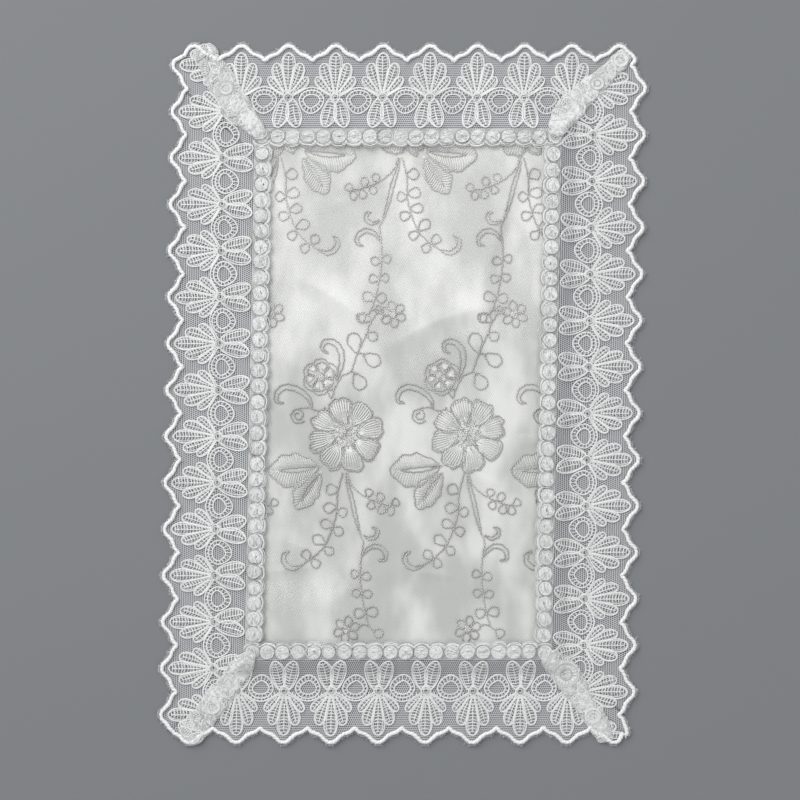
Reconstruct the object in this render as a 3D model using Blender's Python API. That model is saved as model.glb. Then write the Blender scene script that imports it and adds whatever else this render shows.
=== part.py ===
"""Lace-edged satin ring bearer pad.

A flat white satin panel, thinly wadded, with corded flower embroidery under a clear film. A scalloped lace
border is sewn round it: four net strips with mitred ends, each with its row of embroidered palmettes, its row
of rings along the seam and its scalloped edge cord, and a folded seam band over each mitre.

Metres, +Z up. X runs across the pad and Y along it. The origin is at the middle of the underside.
"""
import math

import bmesh
import bpy
from mathutils import Matrix, Vector

# ---- Panel ----
PANEL_WIDTH = 0.198
PANEL_LENGTH = 0.342
BACKING_THICK = 0.0004
WADDING_THICK = 0.0015
FACE_THICK = 0.0004
FILM_THICK = 0.0002
WADDING_INSET = 0.003       # the wadding stops short of the seam
FILM_INSET = 0.001          # the film stops just short of the panel's edge
PANEL_CORNER = 0.002        # radius of the panel's corners

# ---- Lace border ----
LACE_REACH = 0.053          # from the panel's edge out to the middle of the cord, at a scallop's tip
HEADING_WIDTH = 0.0115      # how far the net runs in over the panel
NET_THICK = 0.00025
NET_MARGIN = 0.0015         # net outside the cord
SCALLOP_PITCH = 0.030       # eased along each side to fit a whole number
SCALLOP_CAP = 0.0056        # depth of the round cap of a scallop
SCALLOP_CUSP = 0.0041       # further depth of the sharp notch between two scallops
SCALLOP_SHIFT = {"top": -0.06, "left": 0.09, "bottom": -0.10, "right": 0.41}    # along each side, in pitches
CORNER_START = 0.044        # past the panel's corner, the edge begins to round in towards the mitre
CORNER_EASE = 0.9           # and falls this much for each unit further along
CORD_WIDTH = 0.0024
CORD_THICK = 0.0012
SLOPE_START = 0.0008        # the net leaves the panel's top here, measured outwards from its edge
SLOPE_RUN = 0.0095          # and has come down to the table this much further out
MOTIF_THICK = 0.0006
MOTIF_START = 0.0014        # tips of the leaves, outwards from the panel's edge
MOTIF_CLEAR = 0.0045        # between a palmette's tip and the middle of the cord
RING_PITCH = 0.010
RING_ROW_WIDTH = 0.0090
RING_THICK = 0.0008
RING_NOTCH = 0.0016         # how far the row draws in between two rings
FOLD_WIDTH = 0.014
FOLD_THICK = 0.0009
FOLD_CLEAR = 0.0015         # between the folded seam's end and the cord, measured as the lace is

# ---- Embroidery on the satin ----
EMBROIDERY_THICK = 0.0004
STEM_WIDTH = 0.0009
FLOWER_RADIUS = 0.0240
FLOWER_PETALS = 8
ROSETTE_RADIUS = 0.0110
STAR_RADIUS = 0.0082
STAR_PETALS = 6
REPEAT_ACROSS = 0.078       # from one spray to the next
FIRST_SPRAY_X = -0.0364     # middle of the left spray's large flower
FIRST_SPRAY_UP = 0.1451     # the same, from the panel's bottom edge
UPPER_SPRAY_X = -0.0052     # middle of the mirrored spray in the row above
UPPER_SPRAY_UP = 0.0057     # the same, past the panel's top edge, so the seam cuts this row
EMBROIDERY_INSET = 0.0006   # the embroidered cloth is cut this far inside the panel's edge

# ---- Fits ----
GAP = 0.0003                # between two layers, and between neighbours in a layer
LEAN = 0.0188               # the soft panel lies this much out of square, across per unit along
WELD = 0.00001

# ---- Heights, worked out from the thicknesses ----
WADDING_BASE = BACKING_THICK + GAP
FACE_BASE = WADDING_BASE + WADDING_THICK + GAP
EMBROIDERY_BASE = FACE_BASE + FACE_THICK + GAP
FILM_BASE = EMBROIDERY_BASE + EMBROIDERY_THICK + GAP
HEADING_BASE = FILM_BASE + FILM_THICK + GAP
TRIM_BASE = NET_THICK + GAP     # what is stitched on the net, above the net's underside

# Each side of the border: the panel's side that it runs along, the distance between that side and its
# opposite, and the turn from the strip's own frame, where the lace points along +Y.
SIDES = {
    "top": (PANEL_WIDTH, PANEL_LENGTH, 0),
    "left": (PANEL_LENGTH, PANEL_WIDTH, 90),
    "bottom": (PANEL_WIDTH, PANEL_LENGTH, 180),
    "right": (PANEL_LENGTH, PANEL_WIDTH, 270),
}

PAD_NAME = "ring_bearer_pad"


def clear_scene():
    for obj in list(bpy.data.objects):
        bpy.data.objects.remove(obj, do_unlink=True)


def make_material(name, colour, roughness, alpha=1.0):
    material = bpy.data.materials.new(name)
    material.use_nodes = True
    shader = material.node_tree.nodes["Principled BSDF"]
    shader.inputs["Base Color"].default_value = (*colour, 1.0)
    shader.inputs["Roughness"].default_value = roughness
    shader.inputs["Metallic"].default_value = 0.0
    shader.inputs["Alpha"].default_value = alpha
    return material


def link_mesh(name, mesh, material):
    """Add a finished mesh to the pad, leaned as the soft panel lies."""
    lean = Matrix.Identity(4)
    lean[0][1] = LEAN
    mesh.transform(lean)
    mesh.materials.clear()
    mesh.materials.append(material)
    obj = bpy.data.objects.new(name, mesh)
    collection.objects.link(obj)
    return obj


def mesh_of_curve(curve):
    """The evaluated curve as a mesh with its caps welded on."""
    guide = bpy.data.objects.new("guide", curve)
    collection.objects.link(guide)
    graph = bpy.context.evaluated_depsgraph_get()
    mesh = bpy.data.meshes.new_from_object(guide.evaluated_get(graph))
    bpy.data.objects.remove(guide, do_unlink=True)
    shape = bmesh.new()
    shape.from_mesh(mesh)
    bmesh.ops.remove_doubles(shape, verts=shape.verts[:], dist=WELD)
    bmesh.ops.recalc_face_normals(shape, faces=shape.faces[:])
    shape.to_mesh(mesh)
    shape.free()
    return mesh


def flat_mesh(points, base, thick):
    """A filled flat outline with its thickness, standing on the height base."""
    curve = bpy.data.curves.new("outline", "CURVE")
    curve.dimensions = "2D"
    curve.fill_mode = "BOTH"
    curve.extrude = thick / 2
    spline = curve.splines.new("POLY")
    spline.points.add(len(points) - 1)
    for corner, (x, y) in zip(spline.points, points):
        corner.co = (x, y, 0, 1)
    spline.use_cyclic_u = True
    mesh = mesh_of_curve(curve)
    mesh.transform(Matrix.Translation((0, 0, base + thick / 2)))
    return mesh


def tube_mesh(points, base, width, cyclic=False):
    """A round thread along the points, standing on the height base."""
    curve = bpy.data.curves.new("thread", "CURVE")
    curve.dimensions = "3D"
    curve.bevel_depth = width / 2
    curve.bevel_resolution = 1
    curve.use_fill_caps = not cyclic
    spline = curve.splines.new("POLY")
    spline.points.add(len(points) - 1)
    for corner, (x, y) in zip(spline.points, points):
        corner.co = (x, y, base + width / 2, 1)
    spline.use_cyclic_u = cyclic
    return mesh_of_curve(curve)


def rounded_rectangle(width, length, radius, steps=3):
    points = []
    for quarter in range(4):
        side_x = 1 if quarter in (0, 3) else -1
        side_y = 1 if quarter < 2 else -1
        for step in range(steps + 1):
            angle = math.radians(90) * (quarter + step / steps)
            points.append((side_x * (width / 2 - radius) + radius * math.cos(angle),
                           side_y * (length / 2 - radius) + radius * math.sin(angle)))
    return points


# ---- The border: every strip is drawn in its own frame, u along the side and t outwards from the panel ----

def scallops_on(length):
    """How many scallops fit between the tips of the two neighbouring sides, and their eased pitch."""
    run = length + 2 * LACE_REACH
    count = round(run / SCALLOP_PITCH)
    return count, run / count


def scallop_reach(u, length, shift):
    """Distance of the cord's middle from the panel: a round cap, easing out, then a sharp notch."""
    count, pitch = scallops_on(length)
    phase = (u / pitch + count / 2 - shift) % 1.0 - 0.5
    offset = abs(phase) * 2
    cap = SCALLOP_CAP * (1 - math.exp(-((offset / 0.37) ** 2.6)))
    corner = CORNER_EASE * max(0.0, abs(u) - length / 2 - CORNER_START)
    return LACE_REACH - cap - SCALLOP_CUSP * offset ** 5.5 - corner


def mitre_end(length, shift, offset, end_gap, sign):
    """How far along the strip its edge, moved out by offset, meets the mitre at one end."""
    inside, outside = length / 2, length / 2 + LACE_REACH
    for _ in range(40):
        middle = (inside + outside) / 2
        if middle < length / 2 + scallop_reach(sign * middle, length, shift) + offset - end_gap:
            inside = middle
        else:
            outside = middle
    return sign * inside


def scalloped_edge(length, shift, offset, end_gap):
    """Points of the scalloped edge from one mitre to the other, offset outwards from the cord's middle."""
    count, pitch = scallops_on(length)
    places = [-0.5, -0.3, -0.12, 0.0, 0.12, 0.3]
    stations = sorted((i + 0.5 + shift + place - count / 2) * pitch for i in range(-1, count + 1) for place in places)
    first, last = (mitre_end(length, shift, offset, end_gap, sign) for sign in (-1, 1))
    stations = [u for u in stations if first + WELD < u < last - WELD]
    return [(u, scallop_reach(u, length, shift) + offset) for u in [first, *stations, last]]


def net_outline(length, shift):
    inner = length / 2 - HEADING_WIDTH - GAP
    edge = scalloped_edge(length, shift, CORD_WIDTH / 2 + NET_MARGIN, GAP)
    return [(inner, -HEADING_WIDTH), (-inner, -HEADING_WIDTH), *edge]


def cord_outline(length, shift):
    outer = scalloped_edge(length, shift, CORD_WIDTH / 2, GAP)
    inner = scalloped_edge(length, shift, -CORD_WIDTH / 2, GAP)
    return outer + inner[::-1]


def motif_outline(length, shift):
    """The row of palmettes: five lobes over a pair of leaves, joined to the next by the arch over a ring."""
    count, pitch = scallops_on(length)
    tip = LACE_REACH - MOTIF_CLEAR
    hub = tip * 0.42
    limit = length / 2 + hub - FOLD_WIDTH * math.sqrt(2) / 2 - CORD_WIDTH
    axes = [(i + 0.5 + shift - count / 2) * pitch for i in range(-1, count + 1)]
    axes = [u for u in axes if abs(u) < limit]
    lobes = [(-0.5, 0.53), (-0.36, 0.53), (-0.43, 0.62), (-0.36, 0.67), (-0.26, 0.62), (-0.32, 0.76),
             (-0.24, 0.86), (-0.13, 0.80), (-0.13, 0.92), (0.0, 1.0)]
    leaves = [(0.5, 0.21), (0.42, 0.25), (0.39, 0.14), (0.25, 0.0), (0.08, 0.08), (0.0, 0.36)]
    outer = lobes + [(-u, t) for u, t in lobes[-2:0:-1]]
    inner = leaves + [(-u, t) for u, t in leaves[-2:0:-1]]
    reach = tip - MOTIF_START
    points = [(axis + u * pitch, MOTIF_START + t * reach) for axis in axes for u, t in outer]
    points.append((axes[-1] + 0.5 * pitch, MOTIF_START + lobes[0][1] * reach))
    points += [(axis + u * pitch, MOTIF_START + t * reach) for axis in axes[::-1] for u, t in inner]
    points.append((axes[0] - 0.5 * pitch, MOTIF_START + leaves[0][1] * reach))
    return points


def ring_row_outline(length):
    """A row of rings side by side, drawn in between each two."""
    count = round(length / RING_PITCH)
    pitch = length / count
    middle = -MOTIF_START - RING_ROW_WIDTH / 2 + GAP
    wave = [(-0.5, RING_ROW_WIDTH / 2 - RING_NOTCH), (-0.22, RING_ROW_WIDTH / 2), (0.22, RING_ROW_WIDTH / 2)]
    upper = [((i + 0.5 + place - count / 2) * pitch, half) for i in range(count) for place, half in wave]
    upper.append((length / 2, wave[0][1]))
    return [(u, middle + half) for u, half in upper] + [(u, middle - half) for u, half in upper[::-1]]


def cut_mesh(shape, point, normal, drop=False):
    """Split the shape along a plane, and drop what lies in front of it and close the cut if asked."""
    everything = shape.verts[:] + shape.edges[:] + shape.faces[:]
    cut = bmesh.ops.bisect_plane(shape, geom=everything, dist=WELD / 10, plane_co=point, plane_no=normal,
                                 clear_outer=drop)
    if drop:
        edges = [item for item in cut["geom_cut"] if isinstance(item, bmesh.types.BMEdge)]
        bmesh.ops.holes_fill(shape, edges=edges, sides=0)


def drop_height(t):
    """Height of the net's underside: on the panel inside its edge, on the table further out."""
    share = (SLOPE_START + SLOPE_RUN - t) / SLOPE_RUN
    return HEADING_BASE * min(max(share, 0.0), 1.0)


def lay_strip(name, side, outline, base, thick, material, end_cut=None):
    """Make a piece of the border from its outline, lay it over the panel's edge and turn it to its side."""
    length, across, turn = SIDES[side]
    mesh = flat_mesh(outline, base, thick)
    shape = bmesh.new()
    shape.from_mesh(mesh)
    if end_cut is not None:
        for end in (-1, 1):
            cut_mesh(shape, (end * (length / 2 - end_cut), 0, 0), (end, -1, 0), drop=True)
    for t in (SLOPE_START, SLOPE_START + SLOPE_RUN):
        cut_mesh(shape, (0, t, 0), (0, 1, 0))
    for corner in shape.verts:
        corner.co.z += drop_height(corner.co.y)
    bmesh.ops.triangulate(shape, faces=shape.faces[:])
    shape.to_mesh(mesh)
    shape.free()
    mesh.transform(Matrix.Rotation(math.radians(turn), 4, "Z") @ Matrix.Translation((0, across / 2, 0)))
    return link_mesh(name, mesh, material)


def lay_fold(name, side_x, side_y, material):
    """The folded seam over a mitre: a band out along the diagonal from the panel's corner."""
    half = FOLD_WIDTH / 2
    point = half * 0.7
    start = SLOPE_START + half
    notch = LACE_REACH - SCALLOP_CAP - SCALLOP_CUSP - CORD_WIDTH / 2
    end = (notch - FOLD_CLEAR) * math.sqrt(2) - point
    band = [(start, -half), (end, -half), (end + point, 0), (end, half), (start, half), (start - point, 0)]
    mesh = flat_mesh(band, TRIM_BASE, FOLD_THICK)
    mesh.transform(Matrix.Rotation(math.radians(45), 4, "Z"))
    shape = bmesh.new()
    shape.from_mesh(mesh)
    cut_mesh(shape, (0, 0, 0), (1, -1, 0))
    for t in (SLOPE_START, SLOPE_START + SLOPE_RUN):
        cut_mesh(shape, (t, 0, 0), (1, 0, 0))
        cut_mesh(shape, (0, t, 0), (0, 1, 0))
    for corner in shape.verts:
        corner.co.z += drop_height(max(corner.co.x, corner.co.y))
    if side_x * side_y < 0:
        bmesh.ops.reverse_faces(shape, faces=shape.faces[:])
    bmesh.ops.triangulate(shape, faces=shape.faces[:])
    shape.to_mesh(mesh)
    shape.free()
    mesh.transform(Matrix.Diagonal((side_x, side_y, 1, 1)) @ Matrix.Translation((PANEL_WIDTH / 2,
                                                                                  PANEL_LENGTH / 2, 0)))
    return link_mesh(name, mesh, material)


# ---- The panel's layers ----

def make_panel(satin, wadding, film):
    rim = 2 * FILM_INSET
    inset = 2 * WADDING_INSET
    cloth = rounded_rectangle(PANEL_WIDTH, PANEL_LENGTH, PANEL_CORNER)
    inner = rounded_rectangle(PANEL_WIDTH - inset, PANEL_LENGTH - inset, PANEL_CORNER)
    cover = rounded_rectangle(PANEL_WIDTH - rim, PANEL_LENGTH - rim, PANEL_CORNER)
    link_mesh("satin_backing", flat_mesh(cloth, 0.0, BACKING_THICK), satin)
    link_mesh("wadding", flat_mesh(inner, WADDING_BASE, WADDING_THICK), wadding)
    link_mesh("satin_face", flat_mesh(cloth, FACE_BASE, FACE_THICK), satin)
    link_mesh("clear_film", flat_mesh(cover, FILM_BASE, FILM_THICK), film)


# ---- The embroidery, drawn about the middle of a spray's large flower ----

def petals(centre, radius, count, waist=0.72):
    """A flower's outline: its edge swings between the waist and the full radius, once for each petal."""
    points = []
    for step in range(count * 4):
        angle = 2 * math.pi * step / (count * 4)
        swing = abs(math.cos(count * angle / 2))
        here = radius * (waist + (1 - waist) * swing)
        points.append((centre.x + here * math.cos(angle), centre.y + here * math.sin(angle)))
    return points


def leaf(base, tip, width):
    """A leaf's outline: two arcs from base to tip, widest just before the middle."""
    along = tip - base
    across = Vector((-along.y, along.x)).normalized()
    shares = [(0.12, 0.55), (0.3, 0.95), (0.45, 1.0), (0.65, 0.8), (0.85, 0.4)]
    near = [base + along * s + across * w * width / 2 for s, w in shares]
    far = [base + along * s - across * w * width / 2 for s, w in shares[::-1]]
    return [tuple(p) for p in [base, *near, tip, *far]]


def smooth_path(points, steps=3):
    """A smooth curve through the points, by Catmull-Rom."""
    padded = [points[0], *points, points[-1]]
    path = []
    for before, start, end, after in zip(padded, padded[1:], padded[2:], padded[3:]):
        for step in range(steps):
            s = step / steps
            path.append(0.5 * (2 * start + (end - before) * s
                               + (2 * before - 5 * start + 4 * end - after) * s ** 2
                               + (3 * start - before - 3 * end + after) * s ** 3))
    return [*path, points[-1]]


RISING_STEM = [(-8, 26), (-3.4, 37), (3, 42), (7, 55), (13, 68), (14.5, 77)]
FALLING_STEM = [(0.5, -28), (2, -37), (7, -55), (11, -66), (11, -77), (10, -90), (10, -101), (11, -113), (9, -121)]
CURLED_SPRAY = [(-6.5, -31), (-6.5, -46), (-8, -57), (-12, -70), (-21, -79), (-33, -86), (-38.5, -82)]
SHORT_SPRAY = [(6.5, -29), (18, -42), (33, -46)]


def make_spray(prefix, centre, flip, pieces, thread):
    """The named pieces of one spray. flip is -1 where the row is mirrored."""
    def at(x, y):
        return centre + Vector((flip * x, y)) / 1000

    outlines = {
        "large_flower": lambda: petals(at(0, 0), FLOWER_RADIUS, FLOWER_PETALS),
        "rosette": lambda: petals(at(-17.2, 37.3), ROSETTE_RADIUS, 6, 0.86),
        "star_flower": lambda: petals(at(-1.5, -125), STAR_RADIUS, STAR_PETALS, 0.6),
        "broad_leaf": lambda: leaf(at(-21, -19), at(-49, -23), 0.019),
        "narrow_leaf": lambda: leaf(at(-19, -29), at(-31, -46), 0.013),
    }
    stems = {
        "rising_stem": RISING_STEM,
        "falling_stem": FALLING_STEM,
        "curled_spray": CURLED_SPRAY,
        "short_spray": SHORT_SPRAY,
    }
    for piece in pieces:
        if piece in outlines:
            outline = outlines[piece]()
        else:
            outline = ribbon_outline(smooth_path([at(x, y) for x, y in stems[piece]]), STEM_WIDTH)
        mesh = flat_mesh(outline, EMBROIDERY_BASE, EMBROIDERY_THICK)
        trim_to_panel(mesh)
        link_mesh(f"{prefix}_{piece}", mesh, thread)


def ribbon_outline(path, width):
    """Both edges of a narrow stitched line that follows the path."""
    left, right = [], []
    for i, point in enumerate(path):
        along = path[min(i + 1, len(path) - 1)] - path[max(i - 1, 0)]
        across = Vector((-along.y, along.x)).normalized() * width / 2
        left.append(tuple(point + across))
        right.append(tuple(point - across))
    return left + right[::-1]


def trim_to_panel(mesh):
    """Cut off what would stand past the panel's edges, as the embroidered cloth is cut."""
    shape = bmesh.new()
    shape.from_mesh(mesh)
    for side in (-1, 1):
        cut_mesh(shape, (side * (PANEL_WIDTH / 2 - EMBROIDERY_INSET), 0, 0), (side, 0, 0), drop=True)
        cut_mesh(shape, (0, side * (PANEL_LENGTH / 2 - EMBROIDERY_INSET), 0), (0, side, 0), drop=True)
    shape.to_mesh(mesh)
    shape.free()


def make_embroidery(thread):
    across = Vector((REPEAT_ACROSS, 0))
    whole = ["large_flower", "rosette", "broad_leaf", "narrow_leaf", "rising_stem", "falling_stem",
             "curled_spray", "short_spray", "star_flower"]
    lower = Vector((FIRST_SPRAY_X, FIRST_SPRAY_UP - PANEL_LENGTH / 2))
    upper = Vector((UPPER_SPRAY_X, UPPER_SPRAY_UP + PANEL_LENGTH / 2))
    make_spray("left_spray", lower, 1, whole, thread)
    make_spray("right_spray", lower + across, 1, whole, thread)
    make_spray("upper_spray", upper, -1, ["narrow_leaf", "falling_stem", "curled_spray", "star_flower"], thread)
    make_spray("upper_left_spray", upper - across, -1, ["narrow_leaf", "curled_spray"], thread)
    make_spray("upper_right_spray", upper + across, -1, ["falling_stem", "star_flower"], thread)


def make_seam(thread):
    """The line of sewing thread that holds the lace's heading to the panel, all the way round."""
    width = 0.0004
    inset = HEADING_WIDTH - 0.0004
    ring = rounded_rectangle(PANEL_WIDTH - 2 * inset, PANEL_LENGTH - 2 * inset, PANEL_CORNER, steps=2)
    link_mesh("seam_thread", tube_mesh(ring, HEADING_BASE + TRIM_BASE, width, cyclic=True), thread)


def make_border(net, lace_thread, cord_thread):
    mitre_cut = FOLD_WIDTH * math.sqrt(2) / 2 + 2 * GAP
    row_end = RING_ROW_WIDTH + 2 * MOTIF_START
    for side, (length, _, _) in SIDES.items():
        row_length = length if side in ("top", "bottom") else length - 2 * row_end
        shift = SCALLOP_SHIFT[side]
        lay_strip(f"net_strip_{side}", side, net_outline(length, shift), 0.0, NET_THICK, net)
        lay_strip(f"edge_cord_{side}", side, cord_outline(length, shift), TRIM_BASE, CORD_THICK, cord_thread)
        lay_strip(f"palmette_row_{side}", side, motif_outline(length, shift), TRIM_BASE, MOTIF_THICK, lace_thread,
                  end_cut=mitre_cut)
        lay_strip(f"ring_row_{side}", side, ring_row_outline(row_length), TRIM_BASE, RING_THICK, lace_thread)
    for end, side_y in (("top", 1), ("bottom", -1)):
        for edge, side_x in (("left", -1), ("right", 1)):
            lay_fold(f"mitre_fold_{end}_{edge}", side_x, side_y, lace_thread)


clear_scene()
collection = bpy.data.collections.new(PAD_NAME)
bpy.context.scene.collection.children.link(collection)

satin = make_material("white_satin", (0.76, 0.76, 0.73), 0.35)
wadding = make_material("wadding", (0.85, 0.85, 0.83), 0.95)
film = make_material("clear_film", (0.95, 0.95, 0.95), 0.08, alpha=0.2)
net = make_material("white_net", (0.62, 0.64, 0.65), 0.8, alpha=0.5)
lace_thread = make_material("lace_thread", (0.88, 0.88, 0.87), 0.6)
cord_thread = make_material("cord_thread", (0.93, 0.93, 0.92), 0.55)
embroidery_thread = make_material("embroidery_thread", (0.60, 0.60, 0.57), 0.5)

make_panel(satin, wadding, film)
make_embroidery(embroidery_thread)
make_border(net, lace_thread, cord_thread)
make_seam(embroidery_thread)
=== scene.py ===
# %% [markdown]
# # A lace-edged satin ring pad
#
# This lesson dresses a plain model of a ring bearer's pad: a flat satin panel with corded embroidery under
# a clear film, and a scalloped lace border sewn round it. The plain model gives every size and place. The
# lesson makes the cloth, the net, the cords and each stitched thread, and sets them where the plain pieces
# are.

# %% Load the frame and measure it
import math

import bmesh
import bpy
import numpy as np
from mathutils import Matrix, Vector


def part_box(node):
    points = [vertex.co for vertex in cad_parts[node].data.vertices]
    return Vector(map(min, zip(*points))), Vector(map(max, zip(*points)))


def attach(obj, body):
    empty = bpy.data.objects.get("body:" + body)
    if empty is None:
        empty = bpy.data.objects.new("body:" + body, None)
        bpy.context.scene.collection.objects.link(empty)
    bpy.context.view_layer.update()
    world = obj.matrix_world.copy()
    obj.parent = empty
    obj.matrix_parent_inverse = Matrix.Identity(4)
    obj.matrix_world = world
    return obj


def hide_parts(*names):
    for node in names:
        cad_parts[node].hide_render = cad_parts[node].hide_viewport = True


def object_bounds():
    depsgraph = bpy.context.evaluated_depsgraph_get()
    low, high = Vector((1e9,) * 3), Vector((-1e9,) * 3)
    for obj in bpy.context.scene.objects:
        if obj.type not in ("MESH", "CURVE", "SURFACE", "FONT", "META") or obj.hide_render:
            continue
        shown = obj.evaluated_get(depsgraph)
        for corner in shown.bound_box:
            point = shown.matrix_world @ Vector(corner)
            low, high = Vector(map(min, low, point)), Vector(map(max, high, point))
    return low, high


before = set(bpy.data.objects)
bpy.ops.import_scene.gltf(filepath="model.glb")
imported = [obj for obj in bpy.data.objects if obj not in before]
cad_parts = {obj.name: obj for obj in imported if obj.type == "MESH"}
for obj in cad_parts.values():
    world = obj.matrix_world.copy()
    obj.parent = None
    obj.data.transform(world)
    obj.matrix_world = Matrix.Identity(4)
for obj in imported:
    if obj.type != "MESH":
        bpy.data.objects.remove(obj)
cad_low, cad_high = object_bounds()
BODY = "root"

LEAN = 0.0188           # the soft panel lies this much out of square, across per unit along
CORD_WIDTH = 0.0024
NET_MARGIN = 0.0015     # net outside the cord
SCALLOP_PITCH = 0.030
SCALLOP_SHIFT = {"top": -0.06, "left": 0.09, "bottom": -0.10, "right": 0.41}    # along each side, in pitches
SCALLOP_CAP = 0.0056    # how far the round cap falls away from its tip
SCALLOP_CUSP = 0.0041   # and how much further the sharp notch between two caps drops
CORNER_START = 0.044    # past the panel's corner, the edge begins to round in towards the mitre
CORNER_EASE = 0.9       # and falls this much for each unit further along
MM = 0.001

face_low, face_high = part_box("satin_face")
film_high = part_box("clear_film")[1]
heading_low, heading_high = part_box("net_strip_top")
PANEL_LENGTH = face_high.y - face_low.y
PANEL_WIDTH = face_high.x - face_low.x - LEAN * PANEL_LENGTH
LACE_REACH = heading_high.y - face_high.y - CORD_WIDTH / 2 - NET_MARGIN
HEADING_WIDTH = face_high.y - heading_low.y
HEADING_BASE = film_high.z + 0.0003     # underside of the lace where it lies on the film
SATIN_THICK, FILM_THICK, NET_THICK, FOLD_THICK = 0.00025, 0.0001, 0.0001, 0.0003
chance = np.random.default_rng(7)
print(f"panel {PANEL_WIDTH / MM:.1f} x {PANEL_LENGTH / MM:.1f} mm, lace reaches {LACE_REACH / MM:.1f} mm")

# %% [markdown]
# ## Meshes from whole arrays
#
# Cloth is a grid: a function of two parameters gives every point at once. Thread is a small round profile
# carried along a path. Thousands of stitches share one call, because numpy carries the profile along all of
# their paths together. Each mesh keeps a UV map: across and along the cloth, or along and round the thread.

# %% A grid surface
def pack(*parts):
    """Arrays side by side along a new last axis, such as x, y and z."""
    return np.stack(np.broadcast_arrays(*parts), axis=-1)


def mesh_from_arrays(name, points, faces, uvs, material, tone=None):
    """An object from points (N, 3), four-cornered faces (F, 4) and a UV pair for each face corner."""
    mesh = bpy.data.meshes.new(name)
    mesh.vertices.add(len(points))
    mesh.vertices.foreach_set("co", np.ascontiguousarray(points, np.float32).ravel())
    mesh.loops.add(faces.size)
    mesh.loops.foreach_set("vertex_index", np.ascontiguousarray(faces, np.int32).ravel())
    mesh.polygons.add(len(faces))
    mesh.polygons.foreach_set("loop_start", np.arange(0, faces.size, 4, dtype=np.int32))
    mesh.update(calc_edges=True)
    mesh.uv_layers.new(name="UVMap").data.foreach_set("uv", np.ascontiguousarray(uvs, np.float32).ravel())
    if tone is not None:
        mesh.attributes.new("tone", "FLOAT", "POINT").data.foreach_set("value", tone.astype(np.float32))
    mesh.polygons.foreach_set("use_smooth", np.ones(len(faces), bool))
    mesh.materials.append(material)
    piece = bpy.data.objects.new(name, mesh)
    bpy.context.scene.collection.objects.link(piece)
    return piece


def grid_faces(index):
    """Each face joins four neighbours of a grid of point numbers, counter-clockwise from above."""
    return pack(index[:-1, :-1], index[:-1, 1:], index[1:, 1:], index[1:, :-1]).reshape(-1, 4)


def grid_piece(name, points, uvs, material):
    """A sheet from points (rows, columns, 3), with points that fall together made one."""
    rows, columns = points.shape[:2]
    faces = grid_faces(np.arange(rows * columns).reshape(rows, columns))
    piece = mesh_from_arrays(name, points.reshape(-1, 3), faces, uvs.reshape(-1, 2)[faces], material)
    welded = bmesh.new()
    welded.from_mesh(piece.data)
    bmesh.ops.remove_doubles(welded, verts=welded.verts, dist=1e-6)
    welded.to_mesh(piece.data)
    welded.free()
    return piece


def thickened(piece, thickness, side):
    """Give a sheet its thickness: a second layer above (side 1) or below it (side -1), closed at the rim."""
    thick = piece.modifiers.new("cloth thickness", "SOLIDIFY")
    thick.thickness = thickness
    thick.offset = side
    return piece


# %% Round threads along paths
FLAT = 0.8              # a stitched thread is this much lower than it is wide


def thread_arrays(paths, radius, closed, sides):
    """Points, faces, UVs and stroke numbers of threads along paths (S, K, 3).

    Each point of a path gets a ring: radius times (cosine of the turn along the sideways direction, plus FLAT
    times its sine along the upward one). Sideways is square to the path and level. Open threads end in caps.
    """
    strokes, count = paths.shape[:2]
    if closed:
        along = np.roll(paths, -1, 1) - np.roll(paths, 1, 1)
    else:
        along = np.gradient(paths, axis=1)
    along /= np.linalg.norm(along, axis=-1, keepdims=True) + 1e-12
    across = np.cross([0.0, 0.0, 1.0], along)
    across /= np.linalg.norm(across, axis=-1, keepdims=True) + 1e-12
    upward = np.cross(along, across)
    turn = 2 * np.pi * (np.arange(sides) + 0.5) / sides
    size = np.broadcast_to(radius, (strokes, count))[:, :, None, None]
    ring = np.cos(turn)[:, None] * across[:, :, None] + FLAT * np.sin(turn)[:, None] * upward[:, :, None]
    points = paths[:, :, None] + size * ring

    run = np.linalg.norm(np.diff(paths, axis=1, append=paths[:, :1]), axis=-1)
    length = np.concatenate([np.zeros((strokes, 1)), np.cumsum(run, axis=1)], axis=1)
    spans = count if closed else count - 1
    s, k, j = np.meshgrid(np.arange(strokes), np.arange(spans), np.arange(sides), indexing="ij")
    after, beside = (k + 1) % count, (j + 1) % sides

    def at(ring_index, side):
        return (s * count + ring_index) * sides + side

    faces = pack(at(k, j), at(k, beside), at(after, beside), at(after, j)).reshape(-1, 4)
    near, far = length[s, k], length[s, k + 1]
    u = pack(near, near, far, far)
    v = pack(j, j + 1, j + 1, j) / sides
    uvs = pack(u, v).reshape(-1, 4, 2)
    if not closed:
        first = np.arange(strokes)[:, None] * count * sides
        last = first + (count - 1) * sides
        for fan in [[0, 2 * i + 1, 2 * i + 2, 2 * i + 3] for i in range((sides - 2) // 2)]:
            caps = np.concatenate([first + np.array(fan[::-1]), last + np.array(fan)])
            faces = np.concatenate([faces, caps])
            uvs = np.concatenate([uvs, np.zeros((len(caps), 4, 2))])
    owner = np.repeat(np.arange(strokes), count * sides)
    return points.reshape(-1, 3), faces, uvs, owner


def thread_piece(name, batches, material):
    """One object from batches of (paths, radius, closed, sides, tones): each thread gets a random tone."""
    parts, base = [], 0
    for paths, radius, closed, sides, tones in batches:
        points, faces, uvs, owner = thread_arrays(paths, radius, closed, sides)
        tone = chance.uniform(*tones, owner[-1] + 1)[owner]
        parts.append((points, faces + base, uvs, tone))
        base += len(points)
    joined = [np.concatenate(column) for column in zip(*parts)]
    return mesh_from_arrays(name, joined[0], joined[1], joined[2], material, joined[3])


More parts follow.
